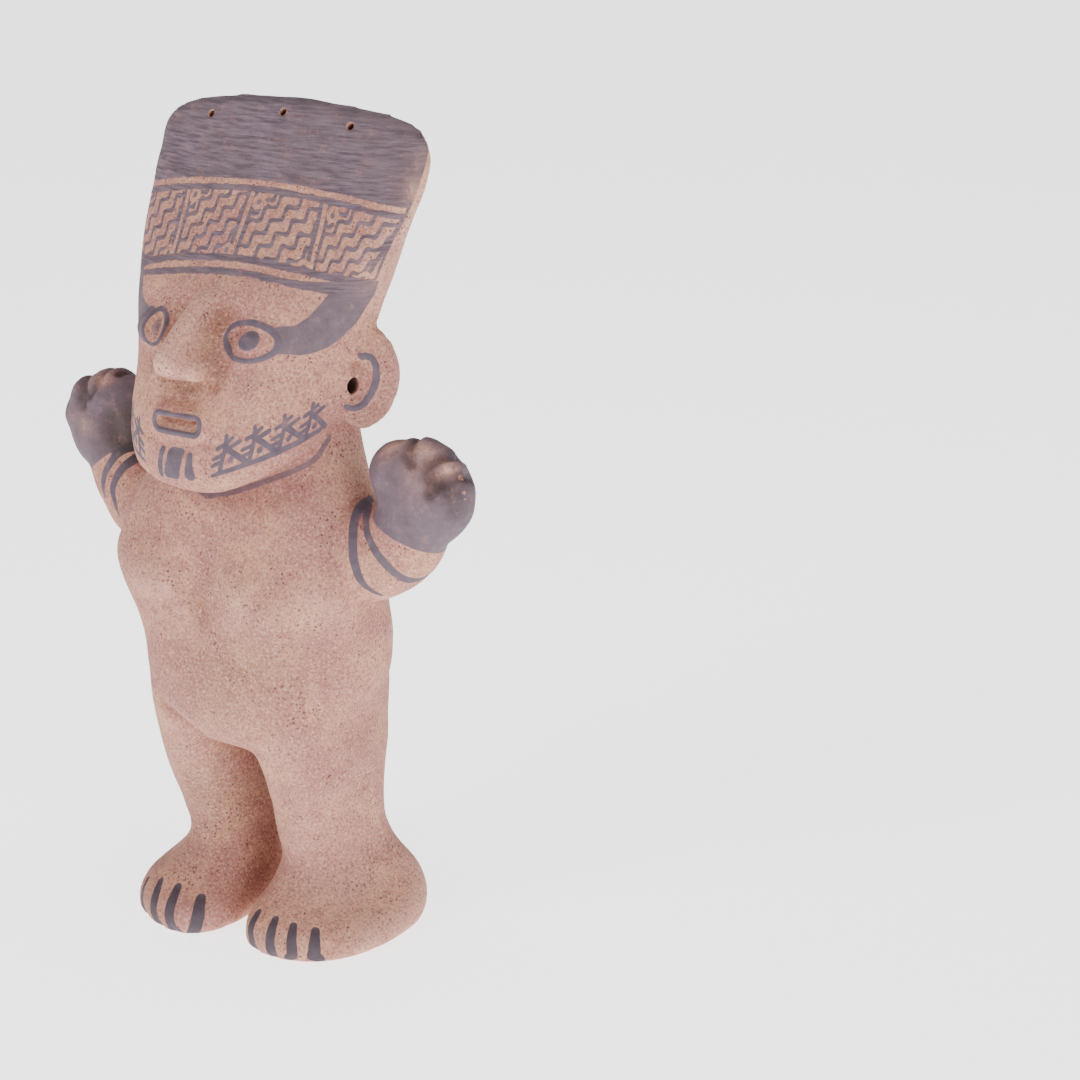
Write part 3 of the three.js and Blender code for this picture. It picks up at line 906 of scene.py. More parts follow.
undrilled = skin_tree(figure.data)
bm = bmesh.new()
for holes, hole_depth in ((HAT_HOLES, HAT_HOLE_DEPTH), (EAR_HOLES, EAR_HOLE_DEPTH)):
    for hole in holes:
        add_rod(bm, *hole, inside=hole_depth)
rods_mesh = bpy.data.meshes.new("rods")
bm.to_mesh(rods_mesh)
bm.free()
rods = place_object("rods", rods_mesh)
apply_modifier(figure, "BOOLEAN", operation="DIFFERENCE", solver="EXACT", object=rods)
bpy.data.objects.remove(rods)
bpy.data.meshes.remove(rods_mesh)
print("drilled:", len(figure.data.vertices), "points")


# %% Soften the rims
def rod_gap(places, mouth, way, diameter_mm, tallness):
    """How far each place is from the wall of a straight hole."""
    way = np.array(way) / np.linalg.norm(way)
    offset = (places - np.array(mouth)) / (1, 1, tallness)
    along = offset @ way
    return np.linalg.norm(offset - along[:, None] * way, axis=1) - diameter_mm / 2000 / STEP


def hole_gap(places):
    """How far each place is outside the nearest hole."""
    gaps = [rod_gap(places, *hole) for hole in HAT_HOLES]
    for hole in EAR_HOLES:
        near_ear = (places[:, 0] * np.sign(hole[0][0]) > 40) & (places[:, 1] < 12)
        gaps.append(np.where(near_ear, rod_gap(places, *hole), FAR))
    return np.min(gaps, axis=0)


RIM_WIDTH = 0.9
rim = (np.abs(hole_gap(read_places(figure.data))) < RIM_WIDTH)[:, None]
for turn in range(2):
    ease(figure.data, read_places(figure.data), 0.4 * rim)

# %% [markdown]
# ## Painting
# The slip is dark and thin, put on with a small brush before the fire. Whatever is painted is
# stored on the points of the skin as a distance in steps from the edge of the paint, negative
# inside it. A distance blends evenly from point to point, so the shader gets a crisp edge from it
# even between the points, and can let the edge wander as a brush does.

# %% Finer faces under the fine lines
JAW_LINE = [(20.5, -62.5, 242.4), (31, -57.8, 246.4), (39.3, -50.3, 249.9), (44.6, -40.9, 253),
            (47.8, -29.5, 256), (48.5, -19, 258)]


def fine_lines(places):
    side, y, z = abs(places[:, 0]), places[:, 1], places[:, 2]
    seen = front_view(places)
    eyes = np.minimum(ellipse_gap(seen, (28, 300), (17.5, 12)), ellipse_gap(seen, (-28, 300), (14, 12)))
    mouth = (side < 17) & (z > 255) & (z < 270) & (y < -50)
    chin = (side < 13) & (z > 234) & (z < 256) & (y < -50)
    flat = places * (1, 1, 0)
    line = np.array(smooth_path(JAW_LINE)) * (1, 1, 0)
    jaw = np.minimum(stroke_gap(flat, line, [4]), stroke_gap(flat, line * (-1, 1, 1), [4]))
    jaw_height = np.interp(side, [20, 31, 40, 48], [242, 246, 250, 256])
    jaws = (jaw < 0) & (z > jaw_height - 4) & (z < jaw_height + 19)
    return (eyes < 0) | mouth | chin | jaws


refine(figure.data, fine_lines)

# %% Clean faces round the holes
# The Boolean leaves many-sided faces with tiny edges there, which would cut into triangles badly
MERGE_STEPS = 0.25
bm = bmesh.new()
bm.from_mesh(figure.data)
rim_points = [vert for vert in bm.verts if any(5 < len(face.verts) < 20 for face in vert.link_faces)]
bmesh.ops.remove_doubles(bm, verts=rim_points, dist=MERGE_STEPS)
bmesh.ops.triangulate(bm, faces=[face for face in bm.faces if len(face.verts) > 4])
bm.to_mesh(figure.data)
bm.free()

# %% What is painted so far
places = read_places(figure.data)
seen = front_view(places)
tree = skin_tree(figure.data)
paint = np.full(len(places), float(FAR))
strength = np.ones(len(places))


def brush(gap, strong=1):
    """Adds a painted shape to what is painted already, and notes how strong its slip is."""
    nearer = gap < paint
    paint[nearer] = gap[nearer]
    strength[nearer & (gap < 2)] = strong


# %% Paint the eyes, the mouth and the chin
turns = np.linspace(0, 2 * math.pi, 33)
for sign, eye in ((1, LEFT_EYE), (-1, RIGHT_EYE)):
    ring = np.stack([sign * np.cos(turns), np.sin(turns)], axis=1) * eye["radii"] + eye["centre"]
    brush(stroke_gap(seen, ring, eye["ring"]), 1.1)
for eye in (LEFT_EYE, RIGHT_EYE):
    brush(ellipse_gap(seen, eye["pupil"], eye["pupil_radii"]), eye["pupil_strength"])

lips_gap = box_gap(seen, MOUTH_MIDDLE, MOUTH_HALF, MOUTH_CORNER)
brush(np.abs(lips_gap) - 1.4, 1.1)
# The chin has a narrow bar, a wide one and one like a drop, all leaning a little
leaning = seen - np.stack([0.27 * (seen[:, 1] - 244.6), 0 * seen[:, 1]], axis=1)
brush(stroke_gap(seen, [(-7.6, 250.4), (-8.8, 244), (-9.4, 238)], [1.5, 1.6, 1.5]), 1.15)
brush(box_gap(leaning, (-0.5, 244.8), (4.9, 7.6), 2.6), 1.15)
brush(stroke_gap(seen, [(9.3, 249.6), (9.2, 246), (9.4, 241.2)], [1.9, 2.1, 3]), 1.15)

# %% [markdown]
# Along the jaw runs a row of four peaks on a base line, each with a cross on its top, a dot inside
# and small barbs on its flanks. They are drawn once, flat, and the flat drawing is bent along the
# jaw: its first measure runs along the base line, and its second one up the cheek.

# %% The row of peaks along the jaw
PEAK_PITCH = 13.4
PEAK_STROKES = [
    ([(0, 0), (3.3, 10.4)], 0.95), ([(3.5, 10.4), (13.4, 0)], 1.2), ([(3.3, 10), (3.8, 15.6)], 0.9),
    ([(-0.4, 11.2), (3.2, 12), (6.6, 13.8)], 0.95), ([(4.7, 9.9), (10, 11.4)], 1.0),
    ([(-2.4, 7), (1.9, 7.7)], 0.85), ([(-3.1, 4), (1.1, 4.8)], 0.85), ([(5.1, 4.1), (5.4, 4.5)], 1.25),
]


def along_line(places, path):
    """Each place's own measures: along a path as seen from above, and straight up from it."""
    path = smooth_path(path)
    starts, ways = path[:-1], np.diff(path, axis=0)
    lengths = np.linalg.norm(ways[:, :2], axis=1)
    before = np.concatenate([[0], np.cumsum(lengths)[:-1]])
    nearest = np.full(len(places), np.inf)
    flat = np.zeros((len(places), 2))
    for start, way, length, so_far in zip(starts, ways, lengths, before):
        t = ((places - start)[:, :2] @ way[:2]) / length ** 2
        t = np.clip(t, -np.inf if so_far == 0 else 0, np.inf if so_far == before[-1] else 1)
        offset = places - start - t[:, None] * way
        gap = np.linalg.norm(offset[:, :2], axis=1)
        closer = gap < nearest
        nearest[closer] = gap[closer]
        flat[closer, 0] = so_far + t[closer] * length
        flat[closer, 1] = offset[closer, 2]
    return flat


for side in (lambda points: points, to_right):
    line = np.array(side(JAW_LINE))
    around = np.flatnonzero(stroke_gap(places, smooth_path(line), [21]) < 6)
    drawing = along_line(places[around], line)
    gaps = stroke_gap(drawing, [(0, -0.4), (15, -0.2), (34, 0), (53, 0.4)], [1, 1.4, 1.7, 1.4])
    for peak in range(4):
        shift = np.array([3.4 + peak * PEAK_PITCH, 0])
        for stroke, half in PEAK_STROKES:
            gaps = np.minimum(gaps, stroke_gap(drawing - shift, stroke, [half + 0.15, half + 0.15]))
    row = np.full(len(places), float(FAR))
    row[around] = gaps
    brush(row, 1.1)

# %% Where the lines under the jaw and round the arms run
UNDER_JAW = [(-47.8, -12, 252), (-45, -20, 242.5), (-35, -28.7, 236.2), (-15, -37.2, 227.4),
             (-5, -40.5, 222.5), (1.5, -39.9, 223.5), (15, -37.2, 227.4), (35, -28.7, 236.2),
             (45, -20, 242.5), (47.8, -12, 252)]
LEFT_BANDS = [
    ([(60, 2, 220), (62, -8.4, 220), (65, -16.4, 217), (69.2, -24.2, 211.7), (72.2, -28.5, 205),
      (74.6, -29.8, 197.8), (76.8, -27.9, 190.4), (81.5, -20, 183)], [1.8, 2.3, 2.3, 2.3, 2.1, 1]),
    ([(62, -3, 219.5), (72.8, -18.4, 216.2), (79.8, -25.6, 211.3), (85.7, -27.6, 205.8),
      (90.4, -26.3, 200.3), (93.8, -21.6, 194.8), (96, -15, 191.8), (97.8, -6, 191)],
     [1.8, 2.1, 2.2, 2.2, 2.1, 1.2]),
]
RIGHT_BANDS = [
    ([(-61, 1, 231), (-68, -9, 231), (-75.5, -18.8, 227.5), (-79.8, -24, 220.7), (-82.9, -26.8, 212.3),
      (-83, -27.4, 204)], [2.6, 2.6, 2.2, 2, 1.8, 0.9]),
    ([(-61, -1, 227), (-67, -11, 225), (-73, -19, 220.6), (-76, -24.5, 214), (-76.3, -27.4, 207),
      (-73.5, -29, 201), (-70, -30, 197)], [2.6, 2.6, 2, 1.7, 1.5, 0.3]),
]

# %% Paint the jaw, ears, arms, toes and hands
HAND_REACH = 34
brush(stroke_gap(places, on_skin(tree, UNDER_JAW), [1.1, 1.4, 1.5, 1.5, 1.5, 1.4, 1.1]), 0.85)
for side in (lambda points: points, to_right):
    brush(stroke_gap(places, on_skin(tree, side(EAR_ARC)), [1.6, 1.9, 1.6]), 1.15)
for path, halves in LEFT_BANDS + RIGHT_BANDS:
    brush(stroke_gap(places, on_skin(tree, path), halves), 1.1)
for top, bottom, half in LEFT_TOES + RIGHT_TOES:
    middle = tuple((a + b) / 2 for a, b in zip(top, bottom))
    brush(stroke_gap(places, on_skin(tree, (top, middle, bottom)), [0.7 * half, half, half]), 1.5)

# The hands are dipped: the edge of their paint is level, aslant to the forearm
for fist, slant, level in ((LEFT_FIST, (0.41, 0.23), 246.4), (RIGHT_FIST, (0.74, 0.06), 284)):
    sign = 1 if fist is LEFT_FIST else -1
    edge = level - slant[0] * sign * places[:, 0] - slant[1] * places[:, 1]
    below = (edge - places[:, 2]) / math.sqrt(1 + slant[0] ** 2 + slant[1] ** 2)
    centre = np.array([sign * fist["x"], fist["y"], fist["z"]])
    brush(np.maximum(below, np.linalg.norm(places - centre, axis=1) - HAND_REACH))
print("strokes painted on", int((paint < 0).sum()), "points")

# %% [markdown]
# A dark wing runs from the outer corner of each eye up to the stripes of the headdress. Seen from
# the side it is a plain outline, and the right one also reaches down past its eye.

# %% Wings beside the eyes
WING = [(-40, 296), (-33, 295), (-28.6, 295.6), (-23, 297.5), (-17.6, 300.5), (-9, 308), (-1.5, 319),
        (0, 326), (-24, 326), (-20.2, 321), (-25.8, 314.8), (-29.3, 310.6), (-32.1, 308), (-40, 306.5)]
RIGHT_WING_FOOT = [(-48, 293), (-38, 295), (-36, 308), (-42, 308), (-48, 300)]


def outline_gap(points, corners):
    """How far each point is from a closed outline, negative inside it."""
    corners = np.array(corners, float)
    nearest = np.full(len(points), float(FAR))
    inside = np.zeros(len(points), bool)
    for start, end in zip(corners, np.roll(corners, -1, axis=0)):
        way = end - start
        t = np.clip((points - start) @ way / (way @ way), 0, 1)
        nearest = np.minimum(nearest, np.linalg.norm(points - start - t[:, None] * way, axis=1))
        crosses = (start[1] > points[:, 1]) != (end[1] > points[:, 1])
        with np.errstate(divide="ignore", invalid="ignore"):
            meets = start[0] + (points[:, 1] - start[1]) / (end[1] - start[1]) * way[0]
        inside ^= crosses & (points[:, 0] < meets)
    return np.where(inside, -nearest, nearest)


beside_eyes = abs(places[:, 0]) > 30
wing = np.where(beside_eyes, outline_gap(places[:, 1:], WING), FAR)
on_right = places[:, 0] < -30
wing = np.minimum(wing, np.where(on_right, outline_gap(places[:, 1:], RIGHT_WING_FOOT), FAR))
for eye in (LEFT_EYE, RIGHT_EYE):
    wing = np.maximum(wing, -ellipse_gap(seen, eye["centre"], eye["radii"]))
brush(wing)

# %% Small chips, where the slip came off the left fist
CHIPS = [((117.8, -6.6, 242), 1.5), ((122.3, -10.1, 236.7), 1.2), ((122.7, -9.9, 233.4), 1.1)]
for centre, radius in CHIPS:
    paint = np.maximum(paint, radius - np.linalg.norm(places - np.array(centre), axis=1))

# %% [markdown]
# The headdress carries four panels between pale stripes. Two measures say where a point lies in
# them: how far along, counted in panels, and how high, measured over an arch that follows the
# brow and is flatter higher up. A third says how far in front of the paint's back edge it lies.

# %% Headdress: where its stripes and panels lie
BAND_LOW, BAND_HIGH = 333.4, 358.0
ARCH_LOW, ARCH_HIGH = 325, 360
PANEL_TOPS = [-79, -40.5, -1.6, 40.7, 78]
PANEL_BOTTOMS = [-69, -34.3, 1, 46, 69]
x, y, z = places.T
share_up = np.clip((z - ARCH_LOW) / (ARCH_HIGH - ARCH_LOW), 0, 1)
arch_x = 11 - 7 * share_up
arch = 0.002 - 0.00076 * share_up
band_v = z + arch * (x - arch_x) ** 2
up = np.clip((band_v - BAND_LOW) / (BAND_HIGH - BAND_LOW), -0.2, 1.2)
edges = [low + (high - low) * up for low, high in zip(PANEL_BOTTOMS, PANEL_TOPS)]
band_u = np.zeros(len(places))
for left, right in zip(edges, edges[1:]):
    band_u += np.clip((x - left) / (right - left), 0, 1)
paint_back = np.interp(z, [319, 324, 337, 351, 364, 374, 384, 390],
                       [-1.8, -2.5, 3.6, 12.6, 19.4, 25.4, 33, 60])
hat_edge = np.clip(paint_back - y, -FAR, FAR)

# %% [markdown]
# Hollows are browner, from dirt and from painted shade, and crests are paler, from wear and from
# painted highlight. Both are read off the skin itself, and a few more places are listed: worn ones,
# some of them painted highlight and painted light; soiled ones, most of them painted shade; and painted
# shade on the slip of the fists.

# %% How far each point lies in a hollow or on a crest
def relief(mesh, rounds):
    """How far each point lies below the smoothed skin, in steps; crests are negative."""
    smooth = read_places(mesh)
    for turn in range(rounds):
        smooth += (neighbour_mean(mesh, smooth) - smooth) * 0.7
    return np.einsum("ij,ij->i", smooth - read_places(mesh), read_normals(mesh))


# %% Worn, lit, soiled and shaded places, each with its radius and its amount
def spots(places, rows):
    """Adds soft round spots, each with a place, a radius and an amount."""
    total = np.zeros(len(places))
    for place, radius, amount in rows:
        total += amount * np.exp(-(np.linalg.norm(places - np.array(place), axis=1) / radius) ** 2)
    return total


# Worn places on the fingers, the fists and the headdress; the spots on the nose ridge are painted
# highlight, and the ones on the neck and the left foot are painted light on shaded parts
WEAR_AND_HIGHLIGHT_SPOTS = [
    ((87, -15, 253), 6, 1.1), ((103, -14, 254.5), 5.5, 1.3), ((115, -13, 247.5), 5, 1.2),
    ((104, -24, 243), 8, 0.4), ((-98, -12, 260), 6, 0.8), ((-88, -16, 260), 5, 0.9),
    ((-95, -26, 239), 7, 0.4), ((78, 22, 362), 8, 0.7), ((77, 16, 345), 7, 0.5),
    ((80, 27, 378), 6, 0.4), ((69, -6, 328), 8, 0.25), ((1, -71, 293), 9, 0.8),
    ((2, -56, 306), 8, 0.6), ((0, -44, 314), 7, 0.5), ((54, -2, 237), 12, 0.9),
    ((52, -20, 28), 20, 0.6),
]
# Dirt and painted shade: beside and under the nose, in the ear, under the ears, the arms and the left
# fist, on the belly and chest, and between the legs and feet
DIRT_AND_SHADE_SPOTS = [
    ((9, -42, 304), 7, 0.5), ((11, -49, 295), 5, 0.4), ((15, -51, 288), 5, 0.5),
    ((9, -36, 311), 6, 0.3), ((-15, -40, 306), 6, 0.6), ((3, -54, 278), 8, 0.55),
    ((-6, -54, 278), 7, 0.5), ((-22, -33, 66), 22, 0.55), ((28, -52, 147), 26, 0.35),
    ((-4, -56, 130), 24, 0.3), ((60, -6, 262), 11, 0.3), ((60, -14, 200), 9, 0.3),
    ((-60, -20, 226), 9, 0.4), ((64, -8, 284), 5, 0.4), ((-6, -8, 56), 26, 0.2),
    ((40, -30, 160), 26, 0.15), ((0, -22, 20), 18, 0.2), ((88, -10, 225), 12, 0.2),
]
# Painted shade on the slip: the side of the right fist that faces the head, and the hollow of the left
# palm
SLIP_SHADE_SPOTS = [
    ((119, -14, 236), 8, 0.9), ((-77, -19, 244), 10, 1), ((-76, -18, 233), 11, 1),
    ((-68, -14, 240), 10, 1), ((-68, -22, 228), 8, 0.6),
]

# %% Measure the hollows and the holes
wide_relief = relief(figure.data, 90)
fine_relief = relief(figure.data, 8)
hole = hole_gap(places)
calm = np.clip((hole - 1) / 3, 0, 1)
depth = np.zeros(len(places))
in_a_hole = np.flatnonzero(hole < 1)
for index in in_a_hole:
    depth[index] = undrilled.find_nearest(Vector(places[index]))[3]
print("hollows up to", round(float(wide_relief.max()), 2))
print("crests up to", round(float(-wide_relief.min()), 2))


# %% Store the measures on the skin
# The slip is darkened with painted shade at these spots and along the grooves between the fingers
slip_darkening = spots(places, SLIP_SHADE_SPOTS)
for groove in FINGER_GROOVES:
    slip_darkening += fade(stroke_gap(places, on_skin(tree, groove[0]), [0, 0.6, 0.6]), 4)
measures = dict(
    paint=paint, strength=strength, slip_darkening=slip_darkening,
    band_u=band_u, band_v=band_v, hat_edge=hat_edge,
    hole=hole, depth=depth, hollow=wide_relief * calm, crevice=fine_relief * calm,
    wear_and_highlight=spots(places, WEAR_AND_HIGHLIGHT_SPOTS), dirt_and_shade=spots(places, DIRT_AND_SHADE_SPOTS) + 0.35 * fade(lips_gap + 2, 1),
)
for name, values in measures.items():
    attribute = figure.data.attributes.new(name, "FLOAT", "POINT")
    attribute.data.foreach_set("value", np.asarray(values, dtype=np.float32))
print("stored:", ", ".join(measures))

# %% Into the frame
figure.data.transform(TO_FRAME)
# The unevenness takes a few points a tenth of a millimetre out of the solid's box
write_places(figure.data, np.clip(read_places(figure.data), cad_lowest, cad_highest))
figure.data.polygons.foreach_set("use_smooth", [True] * len(figure.data.polygons))
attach(figure, "root")
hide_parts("figure")
figure.data.calc_loop_triangles()
print("triangles:", len(figure.data.loop_triangles))

# %% [markdown]
# ## The material
# Low-fired earthenware has a dry, dusty surface with grains of temper in it. Here it is browner in
# the hollows, from dirt and from painted shade, and paler on the crests, from wear and from painted
# highlight. The slip over it is fine clay with iron and manganese.
# It is a little smoother, so it is less rough to the light, and it lets the clay show through
# where the brush ran dry or hands have rubbed it. Both are one material here, mixed by the
# distances stored on the skin.

# %% A way to add shader nodes
def to_linear(hex_colour):
    """A colour written as sRGB hex, as the linear values that a shader takes."""
    values = [int(hex_colour[k:k + 2], 16) / 255 for k in (1, 3, 5)]
    linear = [v / 12.92 if v <= 0.04045 else ((v + 0.055) / 1.055) ** 2.4 for v in values]
    return (*linear, 1)


def cells(size_mm):
    """The scale of a texture whose features are so many millimetres wide."""
    return 1000 / size_mm


def add_node(kind, inputs=(), output=0, **settings):
    """Adds a node, sets it up, and fills its inputs with plain values or other nodes' outputs.

    The inputs are a row in their own order, or a dictionary by their names or numbers."""
    node = earthenware.node_tree.nodes.new("ShaderNode" + kind)
    for name, value in settings.items():
        setattr(node, name, value)
    for socket, value in inputs.items() if isinstance(inputs, dict) else enumerate(inputs):
        if isinstance(value, bpy.types.NodeSocket):
            earthenware.node_tree.links.new(value, node.inputs[socket])
        else:
            node.inputs[socket].default_value = value
    return node.outputs[output]


earthenware = bpy.data.materials.new("earthenware_with_slip")
earthenware.use_nodes = True
earthenware.node_tree.nodes.clear()
# A map range takes a value as input 0, its old range as 1 and 2, and the new one as 3 and 4. A mix
# takes its share as 0 and two colours as 6 and 7, and gives a colour at its output 2.
MIX_COLOUR = 2
on_point = {name: add_node("Attribute", attribute_name=name, output="Fac") for name in measures}
place = add_node("TexCoord", output="Object")
blotches = add_node("TexNoise", {"Vector": place, "Scale": cells(28), "Detail": 3})
mottle = add_node("TexNoise", {"Vector": place, "Scale": cells(6), "Detail": 4, "Roughness": 0.6})
grain = add_node("TexNoise", {"Vector": place, "Scale": cells(1.3), "Detail": 3, "Roughness": 0.7})
wander = add_node("TexNoise", {"Vector": place, "Scale": cells(3.2), "Detail": 2})
flat_place = add_node("Mapping", {"Vector": place, "Scale": (0.09, 0.09, 1)})
streaks = add_node("TexNoise", {"Vector": flat_place, "Scale": cells(1.2), "Detail": 4,
                                "Roughness": 0.6})

# %% Clay: blotches, dirt and painted shade in hollows, wear and painted highlight on crests, grains of temper
tone = add_node("MapRange", {0: blotches, 1: 0.32, 2: 0.68}, interpolation_type="SMOOTHSTEP")
clay_layers = [(tone, "#bf8c73")]
tone = add_node("MapRange", {0: mottle, 1: 0.42, 2: 0.68, 4: 0.85})
clay_layers.append((tone, "#9f6a63"))
# Hollows, crevices and the listed spots get a browner clay: partly dirt, partly painted shade
hollow_dirt_and_shade = add_node("MapRange", {0: on_point["hollow"], 1: 1.5, 2: 7, 4: 0.1},
                interpolation_type="SMOOTHSTEP")
hollow_dirt_and_shade = add_node("Math", [hollow_dirt_and_shade, on_point["dirt_and_shade"]], operation="ADD", use_clamp=True)
clay_layers.append((hollow_dirt_and_shade, "#80604c"))
hollow_dirt_and_shade = add_node("MapRange", {0: on_point["crevice"], 1: 0.1, 2: 0.6, 4: 0.4})
clay_layers.append((hollow_dirt_and_shade, "#7a4634"))
# Crests and the listed spots get a paler clay: partly wear, partly painted highlight
crest_wear_and_highlight = add_node("MapRange", {0: on_point["crevice"], 1: -0.1, 2: -0.6, 4: 0.35})
crest_wear_and_highlight = add_node("Math", [on_point["wear_and_highlight"], 0.5, crest_wear_and_highlight], operation="MULTIPLY_ADD", use_clamp=True)
clay_layers.append((crest_wear_and_highlight, "#d6a893"))
dust = add_node("MapRange", {0: grain, 1: 0.52, 2: 0.65, 4: 0.75})
clay_layers.append((dust, "#7b4f45"))
dust = add_node("MapRange", {0: grain, 1: 0.46, 2: 0.32, 4: 0.7})
clay_layers.append((dust, "#d6aa95"))
# The dark grains lie in swarms, so the limit of their size follows a wide, soft noise
clusters = add_node("TexNoise", {"Vector": place, "Scale": cells(16), "Detail": 2})
grain_size = add_node("MapRange", {0: clusters, 1: 0.35, 2: 0.65, 3: 0.06, 4: 0.27})
temper = add_node("TexVoronoi", {"Vector": place, "Scale": cells(2.6)}, output="Distance")
temper = add_node("Math", [grain_size, temper], operation="SUBTRACT")
temper = add_node("MapRange", {0: temper, 1: 0, 2: 0.05, 4: 0.8})
clay_layers.append((temper, "#5f3b33"))
clay_colour = to_linear("#a57068")
for amount, over in clay_layers:
    clay_colour = add_node("Mix", {0: amount, 6: clay_colour, 7: to_linear(over)},
                           output=MIX_COLOUR, data_type="RGBA")

# %% [markdown]
# The panels of the headdress hold slanting lines that run in waves, like worn steps. In each panel
# the drawing has a middle, and every place has two measures from it in millimetres: along the
# slope and across it. The waves are a sine of the first, and the lines lie at fixed values of the
# second. A drawn texture would do the same, but this stays sharp however near the camera is.

# %% Stripes and panels of the headdress
# The middle of a panel's drawing, as a share of the panel's width and as a height
DRAWING_SHARE = 0.555
BAND_MIDDLE = (BAND_LOW + BAND_HIGH) / 2
BAND_HALF = 12.4
PANEL_WIDTH_MM = 36
LINE_OFFSETS_MM = (0, 6.4, 12.7, 16.4)
LINE_HALF_MM = 1.15
WAVE_LENGTH_MM = 8.2
WAVE_HEIGHT_MM = 1.45
# The dark line beside the pale one between two panels, with its half width
SIDE_LINE_MM = (1.9, 1.05)
DOTS_MM = ((-15.5, 10.5), (12.8, -10.8))
DOT_CELL_MM = 3.1
DOT_HALF_MM = 1.15
# The pale stripes above and below the panels, with their half widths, and the paint's lower edge
PALE_STRIPES = ((361.8, 1.15), (329.2, 1.2))
PAINT_LOW = 325.2

lean = add_node("Math", [wander, 0.5], operation="SUBTRACT")
band_v = add_node("Math", [lean, 1.5, on_point["band_v"]], operation="MULTIPLY_ADD")
panel = add_node("Math", [on_point["band_u"]], operation="FLOOR")
share = add_node("Math", [on_point["band_u"]], operation="FRACT")
chance = add_node("TexWhiteNoise", {1: panel}, noise_dimensions="1D")
right_mm = add_node("Math", [share, DRAWING_SHARE], operation="SUBTRACT")
right_mm = add_node("Math", [right_mm, PANEL_WIDTH_MM], operation="MULTIPLY")
up_mm = add_node("Math", [band_v, BAND_MIDDLE], operation="SUBTRACT")
up_mm = add_node("Math", [chance, 2, up_mm], operation="MULTIPLY_ADD")
along = add_node("Math", [right_mm, up_mm], operation="ADD")
along = add_node("Math", [along, 2 * math.pi / WAVE_LENGTH_MM / math.sqrt(2)],
                 operation="MULTIPLY")
wave = add_node("Math", [along], operation="SINE")
wave = add_node("Math", [wave, -WAVE_HEIGHT_MM], operation="MULTIPLY")
across = add_node("Math", [right_mm, up_mm], operation="SUBTRACT")
across = add_node("Math", [across, 1 / math.sqrt(2), wave], operation="MULTIPLY_ADD")
across = add_node("Math", [across], operation="ABSOLUTE")
to_side = add_node("Math", [on_point["band_u"], 0.5], operation="PINGPONG")
to_side = add_node("Math", [to_side, PANEL_WIDTH_MM], operation="MULTIPLY")
pattern = FAR
lines = [(across, offset, LINE_HALF_MM) for offset in LINE_OFFSETS_MM] + [(to_side, *SIDE_LINE_MM)]
for value, offset, half in lines:
    gap = add_node("Math", [value, offset], operation="SUBTRACT")
    gap = add_node("Math", [gap], operation="ABSOLUTE")
    gap = add_node("Math", [gap, half], operation="SUBTRACT")
    pattern = add_node("Math", [pattern, gap], operation="MINIMUM")

# %% Pale corners with dots, and the edges of the panels
pale_line = add_node("Math", [1, to_side], operation="SUBTRACT")
# Two corners of each panel stay pale, with a dot in each
for corner_right, corner_up in DOTS_MM:
    dx = add_node("Math", [right_mm, corner_right], operation="SUBTRACT")
    dy = add_node("Math", [up_mm, corner_up], operation="SUBTRACT")
    spot = add_node("CombineXYZ", [dx, dy])
    spot = add_node("VectorMath", [spot], output="Value", operation="LENGTH")
    cell = add_node("Math", [DOT_CELL_MM, spot], operation="SUBTRACT")
    pattern = add_node("Math", [pattern, cell], operation="MAXIMUM")
    dot = add_node("Math", [spot, DOT_HALF_MM], operation="SUBTRACT")
    pattern = add_node("Math", [pattern, dot], operation="MINIMUM")
pattern = add_node("Math", [pattern, pale_line], operation="MAXIMUM")
off_middle = add_node("Math", [band_v, BAND_MIDDLE], operation="SUBTRACT")
in_band = add_node("Math", [off_middle], operation="ABSOLUTE")
in_band = add_node("Math", [BAND_HALF, in_band], operation="SUBTRACT")
light = add_node("Math", [pattern, in_band], operation="MINIMUM")
for stripe, half in PALE_STRIPES:
    gap = add_node("Math", [band_v, stripe], operation="SUBTRACT")
    gap = add_node("Math", [gap], operation="ABSOLUTE")
    gap = add_node("Math", [half, gap], operation="SUBTRACT")
    light = add_node("Math", [light, gap], operation="MAXIMUM")
border = add_node("Math", [on_point["hat_edge"], 1.7], operation="SUBTRACT")
light = add_node("Math", [light, border], operation="MINIMUM")
below = add_node("Math", [PAINT_LOW, band_v], operation="SUBTRACT")
beyond = add_node("Math", [0, on_point["hat_edge"]], operation="SUBTRACT")
hat_paint = add_node("Math", [light, below], operation="MAXIMUM")
hat_paint = add_node("Math", [hat_paint, beyond], operation="MAXIMUM")

# %% Slip: where it is, how thick it is, and its colour
gap = add_node("Math", [on_point["paint"], hat_paint], operation="MINIMUM")
around_hole = add_node("Math", [0.2, on_point["hole"]], operation="SUBTRACT")
gap = add_node("Math", [gap, around_hole], operation="MAXIMUM")
ragged = add_node("Math", [mottle, grain], operation="ADD")
ragged = add_node("Math", [ragged, 1], operation="SUBTRACT")
gap = add_node("Math", [ragged, 0.9, gap], operation="MULTIPLY_ADD")
painted = add_node("MapRange", {0: gap, 1: 0.16, 2: -0.3}, interpolation_type="SMOOTHSTEP")
rubbed = add_node("Math", [grain, mottle], operation="ADD")
rubbed = add_node("MapRange", {0: rubbed, 1: 0.6, 2: 1.3})
rubbed = add_node("Math", [rubbed, on_point["wear_and_highlight"]], operation="MULTIPLY", use_clamp=True)
thin = add_node("MapRange", {0: mottle, 1: 0.55, 2: 0.75, 4: 0.25})
thin = add_node("Math", [thin, rubbed], operation="ADD", use_clamp=True)
cover = add_node("Math", [0.95, thin], operation="SUBTRACT", use_clamp=True)
cover = add_node("Math", [cover, on_point["strength"]], operation="MULTIPLY", use_clamp=True)
cover = add_node("Math", [cover, painted], operation="MULTIPLY")
